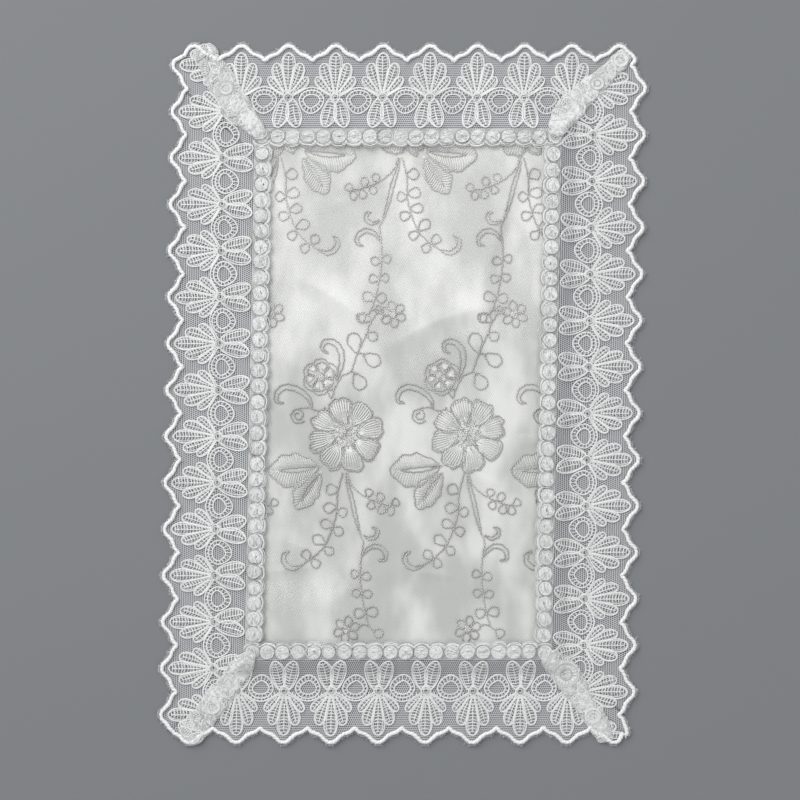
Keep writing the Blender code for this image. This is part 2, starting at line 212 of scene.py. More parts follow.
# %% Smooth paths through a few points
def smooth(points, count, closed=False):
    """A curve of count evenly spaced points through the given ones, by Catmull-Rom between neighbours."""
    p = np.asarray(points, float)
    if closed:
        p = np.vstack([p[-1], p, p[0], p[1]])
    else:
        p = np.vstack([2 * p[0] - p[1], p, 2 * p[-1] - p[-2]])
    a, b, c, d = p[:-3], p[1:-2], p[2:-1], p[3:]
    s = np.linspace(0, 1, 10, endpoint=False)[:, None, None]
    curve = (2 * a - 5 * b + 4 * c - d) * s**2 + (3 * b - a - 3 * c + d) * s**3
    dense = 0.5 * (2 * b + (c - a) * s + curve)
    dense = np.vstack([np.swapaxes(dense, 0, 1).reshape(-1, p.shape[1]), c[-1]])
    reach = np.concatenate([[0], np.cumsum(np.linalg.norm(np.diff(dense, axis=0), axis=1))])
    stations = np.linspace(0, reach[-1], count, endpoint=not closed)
    return np.stack([np.interp(stations, reach, column) for column in dense.T], axis=-1)


def lifted(path, height):
    """A flat path (..., 2) with its height as a third number."""
    return pack(path[..., 0], path[..., 1], height)


def around(count, start=0.0):
    """Angles of count even steps round a circle."""
    return 2 * np.pi * np.arange(count) / count + start


def sideways(path):
    """Unit directions square to a flat path, on its left."""
    along = np.gradient(path, axis=0)
    return pack(-along[:, 1], along[:, 0]) / np.linalg.norm(along, axis=-1, keepdims=True)


# %% [markdown]
# ## Materials
#
# Almost everything here is white thread and cloth, so what tells the pieces apart is how they take the
# light: a rayon thread with its twist, a soft satin, a matt net with open cells and a glossy film. Each
# material reads the piece's own UV map or its object coordinates, so that the pattern stays on the cloth.

# %% Material helpers
def new_material(name, colour, roughness, sheen=0.0, specular=0.5):
    material = bpy.data.materials.new(name)
    material.use_nodes = True
    shader = material.node_tree.nodes["Principled BSDF"]
    shader.inputs["Base Color"].default_value = (*colour, 1.0)
    shader.inputs["Roughness"].default_value = roughness
    shader.inputs["Sheen Weight"].default_value = sheen
    shader.inputs["Specular IOR Level"].default_value = specular
    return material, material.node_tree, shader


def add_node(tree, kind, values=None, **settings):
    """A node with its settings, and its inputs set to values or linked to other nodes' outputs."""
    node = tree.nodes.new(kind)
    for key, value in settings.items():
        setattr(node, key, value)
    for key, value in (values or {}).items():
        if isinstance(value, bpy.types.NodeSocket):
            tree.links.new(value, node.inputs[key])
        else:
            node.inputs[key].default_value = value
    return node


def cloth_place(tree):
    """Across and along the cloth, or along and round the thread."""
    uv = add_node(tree, "ShaderNodeUVMap", uv_map="UVMap").outputs["UV"]
    parts = add_node(tree, "ShaderNodeSeparateXYZ", {0: uv})
    return parts.outputs[0], parts.outputs[1]


def noise(tree, place, scale, detail, rough=0.5):
    values = {"Vector": place, "Scale": scale, "Detail": detail, "Roughness": rough}
    return add_node(tree, "ShaderNodeTexNoise", values).outputs["Fac"]


def maths(tree, operation, first, second=0.0):
    return add_node(tree, "ShaderNodeMath", {0: first, 1: second}, operation=operation).outputs[0]


def plus(tree, first, second):
    return maths(tree, "ADD", first, second)


def times(tree, first, second):
    return maths(tree, "MULTIPLY", first, second)


def remap(tree, value, low, high, to_low=0.0, to_high=1.0):
    node = add_node(tree, "ShaderNodeMapRange", {0: value, 1: low, 2: high, 3: to_low, 4: to_high},
                    interpolation_type="SMOOTHSTEP")
    return node.outputs[0]


def colour_between(tree, factor, first, second):
    node = add_node(tree, "ShaderNodeMix", data_type="RGBA")
    tree.links.new(factor, node.inputs["Factor"])
    node.inputs["A"].default_value = (*first, 1.0)
    node.inputs["B"].default_value = (*second, 1.0)
    return node.outputs["Result"]


def bump(tree, shader, height, distance, strength=1.0):
    node = add_node(tree, "ShaderNodeBump", {"Strength": strength, "Distance": distance, "Height": height})
    tree.links.new(node.outputs["Normal"], shader.inputs["Normal"])


# %% Twisted thread
def thread_material(name, painted_shade_colour, light, twist, painted_ply_shade=0.4):
    """Thread whose plies wind round it: a stripe that climbs once round for each twist of length.

    The stripe bumps the thread and darkens its colour between the plies as painted shade.
    """
    material, tree, shader = new_material(name, light, 0.55, sheen=0.25, specular=0.45)
    length, share = cloth_place(tree)
    phase = plus(tree, times(tree, length, 1 / twist), share)
    ply = maths(tree, "SINE", times(tree, phase, 4 * math.pi))
    tone = add_node(tree, "ShaderNodeAttribute", attribute_name="tone").outputs["Fac"]
    # The ply stripe is added to the tone as painted shade between the plies
    shade = plus(tree, tone, remap(tree, ply, -1.0, 1.0, -painted_ply_shade / 2, painted_ply_shade / 2))
    tree.links.new(colour_between(tree, shade, painted_shade_colour, light), shader.inputs["Base Color"])
    place = add_node(tree, "ShaderNodeTexCoord").outputs["Object"]
    fuzz = noise(tree, place, 1300.0, 2.0)
    bump(tree, shader, plus(tree, ply, times(tree, fuzz, 4.0)), 0.00008, 0.8)
    return material


# The dark colour of each thread is painted shade: the ply stripes and the low tones of outline cords reach it
lace_thread = thread_material("lace_thread", (0.36, 0.36, 0.35), (0.95, 0.95, 0.94), 0.0016)
edge_thread = thread_material("edge_cord_thread", (0.50, 0.50, 0.49), (0.95, 0.95, 0.94), 0.0052)
spray_thread = thread_material("embroidery_thread", (0.30, 0.30, 0.28), (0.95, 0.95, 0.93), 0.0040, 0.9)


# %% Net with open cells
def net_material(name, cell_across, cell_along, thread_share, colour):
    """Net from three waves at 120 degrees: 2 cos(2 pi X) cos(pi Y) + cos(2 pi Y).

    The sum is high in a cell and low on thread, so the net is open where it is above thread_share.
    """
    material, tree, shader = new_material(name, colour, 0.75, sheen=0.2, specular=0.3)
    u, v = cloth_place(tree)
    x, y = times(tree, u, 2 * math.pi / cell_across), times(tree, v, math.pi / cell_along)
    slanted = times(tree, maths(tree, "COSINE", x), maths(tree, "COSINE", y))
    level = maths(tree, "COSINE", times(tree, y, 2.0))
    wave = plus(tree, times(tree, slanted, 2.0), level)
    thread = remap(tree, wave, thread_share - 0.25, thread_share + 0.15, 1.0, 0.0)
    tree.links.new(thread, shader.inputs["Alpha"])
    bump(tree, shader, wave, -0.00005, 0.6)
    return material


white_net = net_material("white_net", 0.00125, 0.00143, -0.82, (0.82, 0.83, 0.84))
# The doubled net is coloured darker than the single net as painted shade in the crumpled fold's gaps
shaded_fold_net = net_material("doubled_net_painted_shade", 0.00110, 0.00130, 0.6, (0.72, 0.72, 0.71))


# %% Satin
RIB_STEP, FLOAT_STEP = 0.00045, 0.0015      # from one rib to the next, and from one long float to the next


def satin_material(name, painted_shade_colour, light):
    """Satin: soft patches of painted sheen and shade, and long floats that show as fine ribs across the
    cloth.
    """
    material, tree, shader = new_material(name, light, 0.36, sheen=0.15, specular=0.45)
    shader.inputs["Anisotropic"].default_value = 0.4
    place = add_node(tree, "ShaderNodeTexCoord").outputs["Object"]
    stretched = add_node(tree, "ShaderNodeMapping", {"Vector": place, "Scale": (24.0, 13.0, 1.0)}).outputs[0]
    # Painted sheen and shade: soft lighter and darker clouds in the colour
    painted_sheen_patches = remap(tree, noise(tree, stretched, 1.0, 3.0, 0.55), 0.36, 0.66)
    u, v = cloth_place(tree)
    rib = maths(tree, "SINE", times(tree, v, 2 * math.pi / RIB_STEP))
    slope = plus(tree, u, times(tree, v, 0.6))
    float_step = maths(tree, "SINE", times(tree, slope, 2 * math.pi / FLOAT_STEP))
    weave = plus(tree, rib, times(tree, float_step, 0.6))
    sheen_and_weave = plus(tree, times(tree, painted_sheen_patches, 0.8), times(tree, float_step, 0.16))
    tree.links.new(colour_between(tree, sheen_and_weave, painted_shade_colour, light), shader.inputs["Base Color"])
    bump(tree, shader, weave, 0.00003, 0.5)
    return material


# The face satin's patches run from painted shade at the dark colour to painted sheen at the light one; the
# backing's are weaker
white_satin = satin_material("white_satin", (0.53, 0.532, 0.507), (0.90, 0.898, 0.868))
backing_satin = satin_material("backing_satin", (0.70, 0.70, 0.68), (0.80, 0.80, 0.78))


# %% Wadding and film
def wadding_material():
    material, tree, shader = new_material("wadding", (0.82, 0.82, 0.80), 0.95, sheen=0.3, specular=0.1)
    place = add_node(tree, "ShaderNodeTexCoord").outputs["Object"]
    tufts = noise(tree, place, 420.0, 6.0)
    tree.links.new(colour_between(tree, tufts, (0.72, 0.72, 0.70), (0.88, 0.88, 0.86)),
                   shader.inputs["Base Color"])
    bump(tree, shader, tufts, 0.0004)
    return material


def film_material():
    """A clear film: almost all light passes, and a mirror share 0.03 + 0.7 (1 - cosine of the tilt)^5."""
    material, tree, shader = new_material("clear_film", (0.97, 0.97, 0.97), 0.12)
    shader.inputs["Metallic"].default_value = 1.0
    glance = add_node(tree, "ShaderNodeLayerWeight", {"Blend": 0.5}).outputs["Facing"]
    mirror = times(tree, maths(tree, "POWER", glance, 5.0), 0.7)
    tree.links.new(plus(tree, mirror, 0.03), shader.inputs["Alpha"])
    return material


wadding_white = wadding_material()
clear_film = film_material()
print("materials:", ", ".join(sorted(m.name for m in bpy.data.materials)))

# %% [markdown]
# ## Where the cloth lies
#
# Every piece is drawn flat, in a frame of its own, and then laid. The panel's pieces use its middle. A
# strip of the border uses u along its side and t outwards from the panel's edge. Inside the edge the lace
# lies on the film; outside it drops to the table in a soft slope, and a small ripple keeps it from looking
# pressed.

# %% Laying functions
SIDES = {
    "top": (PANEL_WIDTH, PANEL_LENGTH, 0),
    "left": (PANEL_LENGTH, PANEL_WIDTH, 90),
    "bottom": (PANEL_WIDTH, PANEL_LENGTH, 180),
    "right": (PANEL_LENGTH, PANEL_WIDTH, 270),
}
DROP_RUN = 0.0105       # the lace has come down to the table this far outside the panel


def drop_height(t):
    """Height of the lace's underside: the panel's top inside the edge, easing to the table outside it."""
    share = np.clip(t / DROP_RUN, 0, 1)
    return HEADING_BASE * (1 - share * share * (3 - 2 * share))


def ripple(x, y):
    """A slight waviness of loose lace, from two slow sines, never below the table."""
    return 0.00022 * (1.5 + np.sin(61 * x + 40 * y) + 0.5 * np.sin(95 * y - 70 * x + 1.0))


def leaned(points):
    """The points, moved across in proportion to their place along the pad."""
    moved = points.copy()
    moved[..., 0] += LEAN * points[..., 1]
    return moved


def lay(side, flat):
    """Points (..., 3) of u, t and height above the net's underside, laid over the edge and turned."""
    _, across, turn = SIDES[side]
    u, t, height = flat[..., 0], flat[..., 1], flat[..., 2]
    cos, sin = round(math.cos(math.radians(turn))), round(math.sin(math.radians(turn)))
    out = t + across / 2
    x, y = cos * u - sin * out, sin * u + cos * out
    loose = np.clip(t / DROP_RUN, 0, 1)
    return leaned(pack(x, y, height + drop_height(t) + loose * ripple(x, y)))


def finish_piece(piece, slot, *replaced):
    """Every piece rides on the pad's one body and hides the plain nodes that it stands for; slot, its finish,
    is not used.
    """
    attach(piece, BODY)
    if replaced:
        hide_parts(*replaced)
    print(f"{piece.name}: {len(piece.data.polygons)} faces")
    return piece


# %% [markdown]
# ## The panel
#
# Two satin cloths enclose a thin wadding and are sewn together along the edge. The face isn't quite flat:
# it rises over the wadding, draws down to the seam, and has broad shallow hollows where the cloth is a
# little loose. Those hollows give satin part of its cloudy look, because its gloss swings with the slope;
# the rest is painted sheen and shade in the satin's colour.

# %% Panel surface
def panel_grid(inset, columns, rows):
    """Flat grid over the panel, drawn in by inset, with points closer together near the edge."""
    across = np.sin(np.linspace(-1, 1, columns) * np.pi / 2) * (PANEL_WIDTH / 2 - inset)
    along = np.sin(np.linspace(-1, 1, rows) * np.pi / 2) * (PANEL_LENGTH / 2 - inset)
    x, y = np.meshgrid(across, along)
    return x, y


def swell(x, y):
    """Share of the wadding's rise: 0 at the seam, 1 a little way in, by the root of the way to the edge."""
    edge = np.minimum(PANEL_WIDTH / 2 - np.abs(x), PANEL_LENGTH / 2 - np.abs(y))
    return np.sqrt(np.clip(edge / 0.010, 0, 1))


def hollows(x, y):
    """Broad shallow hollows: a sum of slow sines that cross at unlike angles, fading out at the seam."""
    waves = (np.sin(52 * x + 31 * y + 0.6) + np.sin(-38 * x + 57 * y + 2.1) + 0.6 * np.sin(105 * x - 22 * y)
             + 0.5 * np.sin(24 * x + 118 * y + 1.3) + 0.35 * np.sin(150 * x + 90 * y + 0.2))
    return 0.00020 * waves * swell(x, y)


CREASES = [             # middle x and y, direction in degrees, length and width in metres, height in metres
    (-0.045, 0.062, -38, 0.060, 0.0042, 0.00055),
    (0.022, 0.048, 24, 0.070, 0.0050, 0.00050),
    (0.058, 0.110, 70, 0.080, 0.0060, 0.00045),
    (-0.030, 0.128, 12, 0.060, 0.0050, 0.00045),
    (-0.060, -0.098, -20, 0.060, 0.0045, 0.00045),
    (0.030, -0.104, 5, 0.110, 0.0050, 0.00040),
    (0.060, -0.020, -60, 0.070, 0.0055, 0.00040),
    (0.022, -0.115, -8, 0.026, 0.0024, 0.00060),
    (0.051, -0.055, -15, 0.024, 0.0022, 0.00050),
    (0.080, -0.031, 4, 0.022, 0.0022, 0.00050),
    (-0.070, -0.112, 6, 0.030, 0.0024, 0.00050),
]


def creases(x, y):
    """Soft ridges where the satin is slack: a bell across a bowed line, fading out towards its ends."""
    place = np.array(CREASES)
    turn = np.radians(place[:, 2])
    dx, dy = x[..., None] - place[:, 0], y[..., None] - place[:, 1]
    along = np.cos(turn) * dx + np.sin(turn) * dy
    aside = np.cos(turn) * dy - np.sin(turn) * dx + 4.0 * along**2
    ridge = np.exp(-((aside / place[:, 4]) ** 2) - (2 * along / place[:, 3]) ** 4)
    return (place[:, 5] * ridge).sum(-1) * swell(x, y)


def face_height(x, y):
    """Top of the satin face."""
    return face_high.z - 0.0004 * (1 - swell(x, y)) + hollows(x, y) + creases(x, y) - 0.0003


x, y = panel_grid(0.0, 145, 251)
face_top = leaned(pack(x, y, face_height(x, y)))
satin_face = grid_piece("satin_face_cloth", face_top, pack(x, y), white_satin)
finish_piece(thickened(satin_face, SATIN_THICK, -1), "white_satin", "satin_face")

backing_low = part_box("satin_backing")[0]
x, y = panel_grid(0.0, 61, 101)
under = backing_low.z + SATIN_THICK + 0.00008 * (1 + np.sin(70 * x + 20 * y) * np.sin(64 * y))
backing = grid_piece("satin_backing_cloth", leaned(pack(x, y, under)), pack(x, y), backing_satin)
finish_piece(thickened(backing, SATIN_THICK, -1), "white_satin", "satin_backing")

# %% [markdown]
# ## The wadding
#
# The wadding is a thin soft pad, hidden between the cloths. Its top and bottom close at a thin round edge,
# so it is one closed form: the height above its middle is a share of half its thickness that falls off at
# the rim.

# %% Wadding
wadding_low, wadding_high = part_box("wadding")


def wadding_piece():
    """Two grids, one above and one below the middle, that meet at the rim."""
    inset = 0.003
    x, y = panel_grid(inset, 61, 101)
    edge = np.minimum(PANEL_WIDTH / 2 - inset - np.abs(x), PANEL_LENGTH / 2 - inset - np.abs(y))
    half = (wadding_high.z - wadding_low.z) / 2 - 0.0001
    rise = half * np.sqrt(1 - (1 - np.clip(edge / 0.002, 0, 1)) ** 2)
    middle = (wadding_low.z + wadding_high.z) / 2
    rows, columns = x.shape
    index = np.arange(rows * columns).reshape(rows, columns)
    rim = np.zeros((rows, columns), bool)
    rim[[0, -1]] = rim[:, [0, -1]] = True
    lower = np.where(rim, index, index + rows * columns)
    faces = np.concatenate([grid_faces(index), grid_faces(lower)[:, ::-1]])
    points = np.concatenate([pack(x, y, middle + way * rise).reshape(-1, 3) for way in (1, -1)])
    used, order = np.unique(faces, return_inverse=True)
    faces, points = order.reshape(faces.shape), points[used]
    return mesh_from_arrays("wadding_pad", leaned(points), faces, points[:, :2][faces], wadding_white)


wadding = finish_piece(wadding_piece(), "wadding", "wadding")

# %% [markdown]
# ## Embroidery
#
# The sprays are drawn with a cord about a millimetre thick, laid on the satin and stitched down, and filled
# with finer stitches. One spray is drawn once, in millimetres about the middle of its large flower. The
# cloth repeats it across, and the row above is its mirror image. Strokes that cross the seam are cut there.

# %% Strokes
CORD, STITCH = 0.43, 0.32      # radii of the outline cord and of the filling stitches, mm


def turned(path, angle):
    cos, sin = math.cos(angle), math.sin(angle)
    return path @ np.array([[cos, sin], [-sin, cos]])


def ellipse(centre, across, along, angle=0.0, count=14):
    """Closed loop: across times cosine, along times sine, turned and moved."""
    a = around(count)
    return turned(pack(across * np.cos(a), along * np.sin(a)), angle) + centre


def spiral(centre, radius, turns, start, count=22):
    """Radius grows evenly with the turn, from a quarter of the full one."""
    s = np.linspace(0, 1, count)
    a = start + 2 * np.pi * turns * s
    return pack(np.cos(a), np.sin(a)) * (radius * (0.25 + 0.75 * s))[:, None] + centre


def doubled(path, gap):
    """Two lines beside the path, gap apart in the middle and joined at both ends."""
    spread = sideways(path) * gap / 2 * np.sin(np.linspace(0, np.pi, len(path)))[:, None] ** 0.6
    return [path + spread, path - spread]


def lobe_sides(base, tip, width, bend, shares, power, round_end, waves=0.0):
    """Left and right edge of a lobe, and its axis, which bows by bend: half width times
    sin(pi s^power)^round_end.

    With waves set, the half width also swells and draws in three and a half times, as on a lobed leaf.
    """
    along = np.subtract(tip, base)
    across = np.array([-along[1], along[0]]) / np.linalg.norm(along)
    axis = base + along * shares[:, None] + across * (bend * np.sin(np.pi * shares))[:, None]
    half = width / 2 * np.sin(np.pi * np.clip(shares, 0, 1) ** power) ** round_end
    half = half * (1 - waves + waves * np.abs(np.sin(3.5 * np.pi * shares)))
    return axis + across * half[:, None], axis - across * half[:, None], axis


def lobe_outline(base, tip, width, bend=0.0, power=1.6, round_end=0.6, count=26, waves=0.0):
    s = (1 - np.cos(np.linspace(0, np.pi, count // 2 + 1))) / 2
    left, right, _ = lobe_sides(base, tip, width, bend, s, power, round_end, waves)
    return smooth(np.vstack([left[:-1], right[:0:-1]]), count, closed=True)


def lobe_rungs(base, tip, width, number, bend, power, round_end, sag, inner=0.0, waves=0.0):
    """Stitches across a lobe, each three points. With inner set, two rows leave the middle open."""
    s = (np.arange(number) + 0.7) / (number + 0.6)
    left, right, axis = lobe_sides(base, tip, width, bend, s, power, round_end, waves)
    along = np.subtract(tip, base)
    drop = along / np.linalg.norm(along) * sag
    if inner:
        return np.concatenate([np.stack([a - drop, (a + b) / 2 - drop / 3, b], axis=1)
                               for a, b in ((axis + (edge - axis) * inner, edge) for edge in (left, right))])
    return np.stack([left, axis - drop, right], axis=1)


STEP = 0.75             # spacing of points along a couched cord, mm


def corded(points, closed=False):
    """A hand-laid cord through the points: evenly spaced, wavering by about a sixth of a millimetre."""
    rough = smooth(points, 60, closed)
    count = max(9, int(np.linalg.norm(np.diff(rough, axis=0), axis=1).sum() / STEP))
    path = smooth(points, count, closed)
    turns, phase = around(count), chance.uniform(0, 6.28, 2)
    waver = 0.17 * np.sin(round(count / 7) * turns + phase[0])
    waver = waver + 0.10 * np.sin(round(count / 4) * turns + phase[1])
    return path + sideways(path) * waver[:, None]


# %% One spray
def flower_strokes():
    """Eight petals about the middle, broad and wavy at the end, filled with stitches that fan out."""
    rim = [(5.5, -1.2), (11, -4.4), (16.8, -6.9), (21.2, -6.3), (23.6, -3.2), (23.6, 0.6), (24.4, 3.6),
           (21.4, 6.6), (16.4, 6.7), (10.6, 4.3), (5.5, 1.2)]
    outlines, seconds, fills = [], [], []
    for angle in np.radians(13 + 45 * np.arange(8)):
        petal = np.array(rim) * [chance.uniform(0.94, 1.03), chance.uniform(0.94, 1.06)]
        petal = petal + chance.normal(0, 0.6, petal.shape)
        outlines.append(turned(petal, angle))
        seconds.append(turned((petal - [15, 0]) * 0.84 + [15, 0] + chance.normal(0, 0.3, petal.shape), angle))
        k = np.linspace(-1, 1, 8)[:, None]
        start = np.concatenate([8.0 + 0 * k, 1.3 * k], axis=1)
        end = np.concatenate([23.0 - 3.0 * k**4 + chance.normal(0, 0.3, k.shape), 5.9 * k], axis=1)
        middle = (start + end) / 2 + np.concatenate([0 * k, 1.3 * k], axis=1)
        fills.append(turned(np.stack([start, middle, end], axis=1), angle))
    angle = around(30) + chance.normal(0, 0.06, 30)
    near, far = chance.uniform(2.0, 4.6, 30), chance.uniform(8.0, 12.6, 30)
    spoke = pack(near, (near + far) / 2, far)
    turn = angle[:, None] + np.linspace(-0.06, 0.10, 3)
    heart = pack(spoke * np.cos(turn), spoke * np.sin(turn))
    return outlines, seconds, np.concatenate(fills), heart


GOLDEN_ANGLE = 2.39996


def knots(centre, radius, number):
    """Small raised knots, placed by the golden angle so that they fill a disc evenly."""
    i = np.arange(number) + 0.5
    angle = i * GOLDEN_ANGLE
    place = pack(np.cos(angle), np.sin(angle)) * (radius * np.sqrt(i / number))[:, None]
    return [ellipse(np.asarray(centre) + p, 0.8, 0.7, i, count=8) for i, p in enumerate(place)]


def star_strokes(centre):
    ends = [centre + turned(np.array([[1.6, 0], [8.6, 0]]), a) for a in np.radians(20 + 60 * np.arange(6))]
    return [lobe_outline(base, tip, 5.0, 0.0, 1.4, 0.6, 16) for base, tip in ends], knots(centre, 1.7, 5)


def rosette_strokes(centre):
    """A rose: a wavy rim, six cupped petals inside it, and a knotted heart."""
    a, angles = around(36), np.radians(60 * np.arange(6) + 12)
    rim = pack(np.cos(a), np.sin(a)) * (10.2 + 1.5 * np.abs(np.sin(3 * a)))[:, None] + centre
    cup = lobe_outline((2.2, 0), (9.4, 0.8), 8.6, 0.8, 1.3, 0.6, 18)
    cups = [centre + turned(cup, angle) for angle in angles]
    ticks = [centre + turned(np.array([(4.2, 0), (6.4, 0.5 * k), (9.4, 1.0 * k)]), angle)
             for angle in angles for k in np.linspace(-2.4, 2.4, 6)]
    return rim, cups, np.stack(ticks), knots(centre, 2.6, 8)


SMALL_LOOPS = [     # centre x, y and radius of the little loops along the stems, mm
    (-8.9, -35.0, 3.4), (-10.4, -46.9, 3.2), (-1.6, -49.5, 3.0), (-12.6, -56.9, 2.9), (-3.6, -62.0, 2.9),
    (-17.4, -67.0, 3.1), (-9.4, -74.6, 2.7), (-24.4, -76.6, 2.8), (-17.8, -82.8, 2.7), (7.3, -89.3, 2.6),
    (14.8, -90.8, 2.6), (8.2, -101.5, 2.6), (15.9, -102.2, 2.6), (10.4, -114.6, 3.2), (19.4, -113.6, 3.1),
    (23.0, -127.2, 3.0), (15.4, -37.0, 2.4), (22.6, -39.4, 2.4), (16.8, -45.4, 2.4), (23.4, -48.4, 2.4),
    (29.4, -49.2, 2.3), (32.6, -43.4, 2.4), (15.9, 63.4, 3.0), (9.6, 75.4, 3.1), (19.5, 80.2, 2.6),
]
STEMS = [           # single lines of cord, mm
    [(-12, 27), (-10, 23.4), (-7.8, 30), (-3.3, 37.9), (2.2, 40.8), (6.2, 52), (12.3, 65.8), (13.4, 70.3),
     (17.9, 78)],
    [(6.2, 52), (8.9, 52.4), (11.0, 50.6)],
    [(2.2, 40.8), (4.4, 40.2), (5.6, 38.6)],
    [(10, -63.6), (12.3, -69.2), (11.2, -77), (10.6, -90.4), (11.9, -102.7), (14.4, -114.9), (17.4, -123.4),
     (20.4, -125.4)],
    [(17.0, -122.6), (13.4, -122.0), (9.8, -123.6)],
    [(1.4, -24.5), (3.4, -31.2), (10, -37.9), (19, -42.4), (26.8, -44.8), (30.0, -45.0)],
    [(-1.6, -24.5), (-3.3, -31), (-4.9, -39), (-5.2, -50.2), (-8.2, -61.4), (-12.6, -71.4), (-19, -78.1),
     (-26.8, -83.7)],
    [(-13.5, 17.5), (-17.5, 15.4), (-22.3, 16.7)],
    [(-22.3, 16.7), (-25.0, 17.6), (-28.6, 17.4), (-31.2, 16.6)],
]
SCROLLS = [         # lines that part into two and close again, mm, and how far they part
    ([(-22.3, 16.7), (-24.5, 23.4), (-31.2, 29.0), (-39.5, 30.8), (-44.8, 27.0), (-45.0, 21.6),
      (-40.6, 20.4)], 3.4),
    ([(-7.2, 34.8), (-3.9, 45.7), (-4.8, 54.7), (-9.4, 59.6), (-15.0, 59.6), (-16.4, 55.2),
      (-12.4, 52.4)], 3.4),
    ([(12.3, -64.7), (16.7, -66.6), (20.6, -64.4), (20.8, -60.6), (17.6, -59.6)], 2.4),
    ([(11.6, -78.1), (15.6, -73.0), (21.2, -71.4), (26.0, -74.6), (26.4, -79.6), (22.4, -81.0)], 2.8),
    ([(-26.8, -83.7), (-33.0, -85.6), (-38.0, -82.4), (-38.8, -77.4), (-35.2, -74.6)], 3.0),
    ([(0.4, -24.5), (1.6, -32), (4.3, -41.3), (6.9, -52.4), (10, -63.6)], 2.4),
]


def stem_loops(stems):
    """A loop for each entry of SMALL_LOOPS, sewn from the nearest point of a stem out round its centre."""
    line = np.concatenate(stems)
    centres, radii = np.array(SMALL_LOOPS)[:, :2], np.array(SMALL_LOOPS)[:, 2]
    base = line[np.linalg.norm(line[None] - centres[:, None], axis=-1).argmin(1)]
    out = centres - base
    tip = centres + out / np.linalg.norm(out, axis=1, keepdims=True) * radii[:, None]
    return [lobe_outline(b, t, 2.1 * r, 0.0, 1.5, 0.55, 20) for b, t, r in zip(base, tip, radii)]


# Tone ranges of the spray threads: outline cords and stems are darkened as painted shade at their edges;
# fills are near white; the mixed range varies at random
PAINTED_SHADE_TONES, PALE, MIXED = (0.0, 0.4), (0.9, 1.2), (0.2, 1.0)


def spray_batches():
    """All strokes of a spray: paths and radius in mm, closed, sides, tones, height above the cloth in mm."""
    petals, seconds, petal_fill, heart = flower_strokes()
    star, star_knots = star_strokes(np.array([2.6, -125.0]))
    rim, cups, ticks, rosette_knots = rosette_strokes(np.array([-17.2, 37.3]))
    leaves = [((-17, -20), (-49.5, -23.5), 23.0, 1.0, 21), ((-16.0, -25.0), (-31.4, -47.4), 16.5, -0.8, 17)]
    rims = [lobe_outline(base, tip, width, bend, 1.15, 0.7, 40, 0.16) for base, tip, width, bend, _ in leaves]
    hearts = [lobe_outline(base, np.array(base) * 0.2 + np.array(tip) * 0.8, width * 0.13, bend, 1.1, 0.8, 30)
              for base, tip, width, bend, _ in leaves]
    leaf_fill = np.concatenate([lobe_rungs(base, tip, width, number, bend, 1.15, 0.7, 2.6, 0.15, 0.16)
                                for base, tip, width, bend, number in leaves])
    drops = [lobe_outline((6.2, 52), (2.6, 65.5), 8.8), lobe_outline((9.6, 52.0), (20.8, 45.6), 8.6),
             lobe_outline((4.4, 40.2), (10.2, 29.4), 8.8)]
    stems = [corded(points) for points in STEMS]
    scrolls = [corded(line) for points, gap in SCROLLS for line in doubled(smooth(points, 34), gap)]
    curl = [corded(spiral((-31.2, 12.6), 5.4, 1.7, 1.2, 34))]
    loops = petals + rims + hearts + drops + cups + stem_loops(stems) + star + [rim]
    closed = [corded(path, True) for path in loops]
    return [
        *[(path[None], CORD, True, 6, PAINTED_SHADE_TONES, 0.44) for path in closed],
        *[(corded(path, True)[None], CORD * 0.8, True, 6, MIXED, 0.42) for path in seconds],
        *[(path[None], CORD, False, 6, PAINTED_SHADE_TONES, 0.46) for path in stems + scrolls + curl],
        (np.stack(rosette_knots + star_knots), STITCH * 1.3, True, 6, MIXED, 0.55),
        (np.stack(knots((0, 0), 7.4, 42)), STITCH * 1.5, True, 6, MIXED, 0.60),
        (heart, STITCH * 1.3, False, 6, MIXED, 0.50),
        (petal_fill, STITCH * 1.4, False, 6, PALE, 0.30),
        (leaf_fill, STITCH, False, 6, PALE, 0.30),
        (ticks, STITCH, False, 6, PALE, 0.28),
    ]


# %% Cutting strokes at a line
def inside_run(path, keep, closed):
    """The longest stretch of a stroke that is kept, with as many points as the whole one, or None."""
    if closed:
        first = int(np.argmin(keep))
        path, keep = np.roll(path, -first, 0), np.roll(keep, -first)
    edges = np.flatnonzero(np.diff(np.concatenate([[False], keep, [False]]).astype(int)))
    starts, ends = edges[::2], edges[1::2]
    longest = int(np.argmax(ends - starts))
    if ends[longest] - starts[longest] < 2:
        return None
    stations = np.linspace(starts[longest], ends[longest] - 1, len(path))
    return np.stack([np.interp(stations, np.arange(len(path)), column) for column in path.T], axis=-1)


def trimmed(paths, closed, inside):
    """The strokes of paths (S, K, N) that lie inside, crossing ones cut, as a list of (paths, closed)."""
    keep = inside(paths)
    whole, crossing = keep.all(1), keep.any(1) & ~keep.all(1)
    kept = [(paths[whole], closed)] if whole.any() else []
    cut = [inside_run(path, mask, closed) for path, mask in zip(paths[crossing], keep[crossing])]
    cut = [path for path in cut if path is not None]
    return kept + ([(np.stack(cut), False)] if cut else [])


# %% Set the sprays out over the panel
SEAM_INSET = 0.0015
REPEAT_ACROSS = 0.078
LOWER_SPRAY = np.array([-0.0364, 0.1451 - PANEL_LENGTH / 2])
UPPER_SPRAY = np.array([-0.0052, 0.0057 + PANEL_LENGTH / 2])


def on_cloth(path):
    reach = np.array([PANEL_WIDTH, PANEL_LENGTH]) / 2 - SEAM_INSET
    return (np.abs(path) < reach).all(-1)


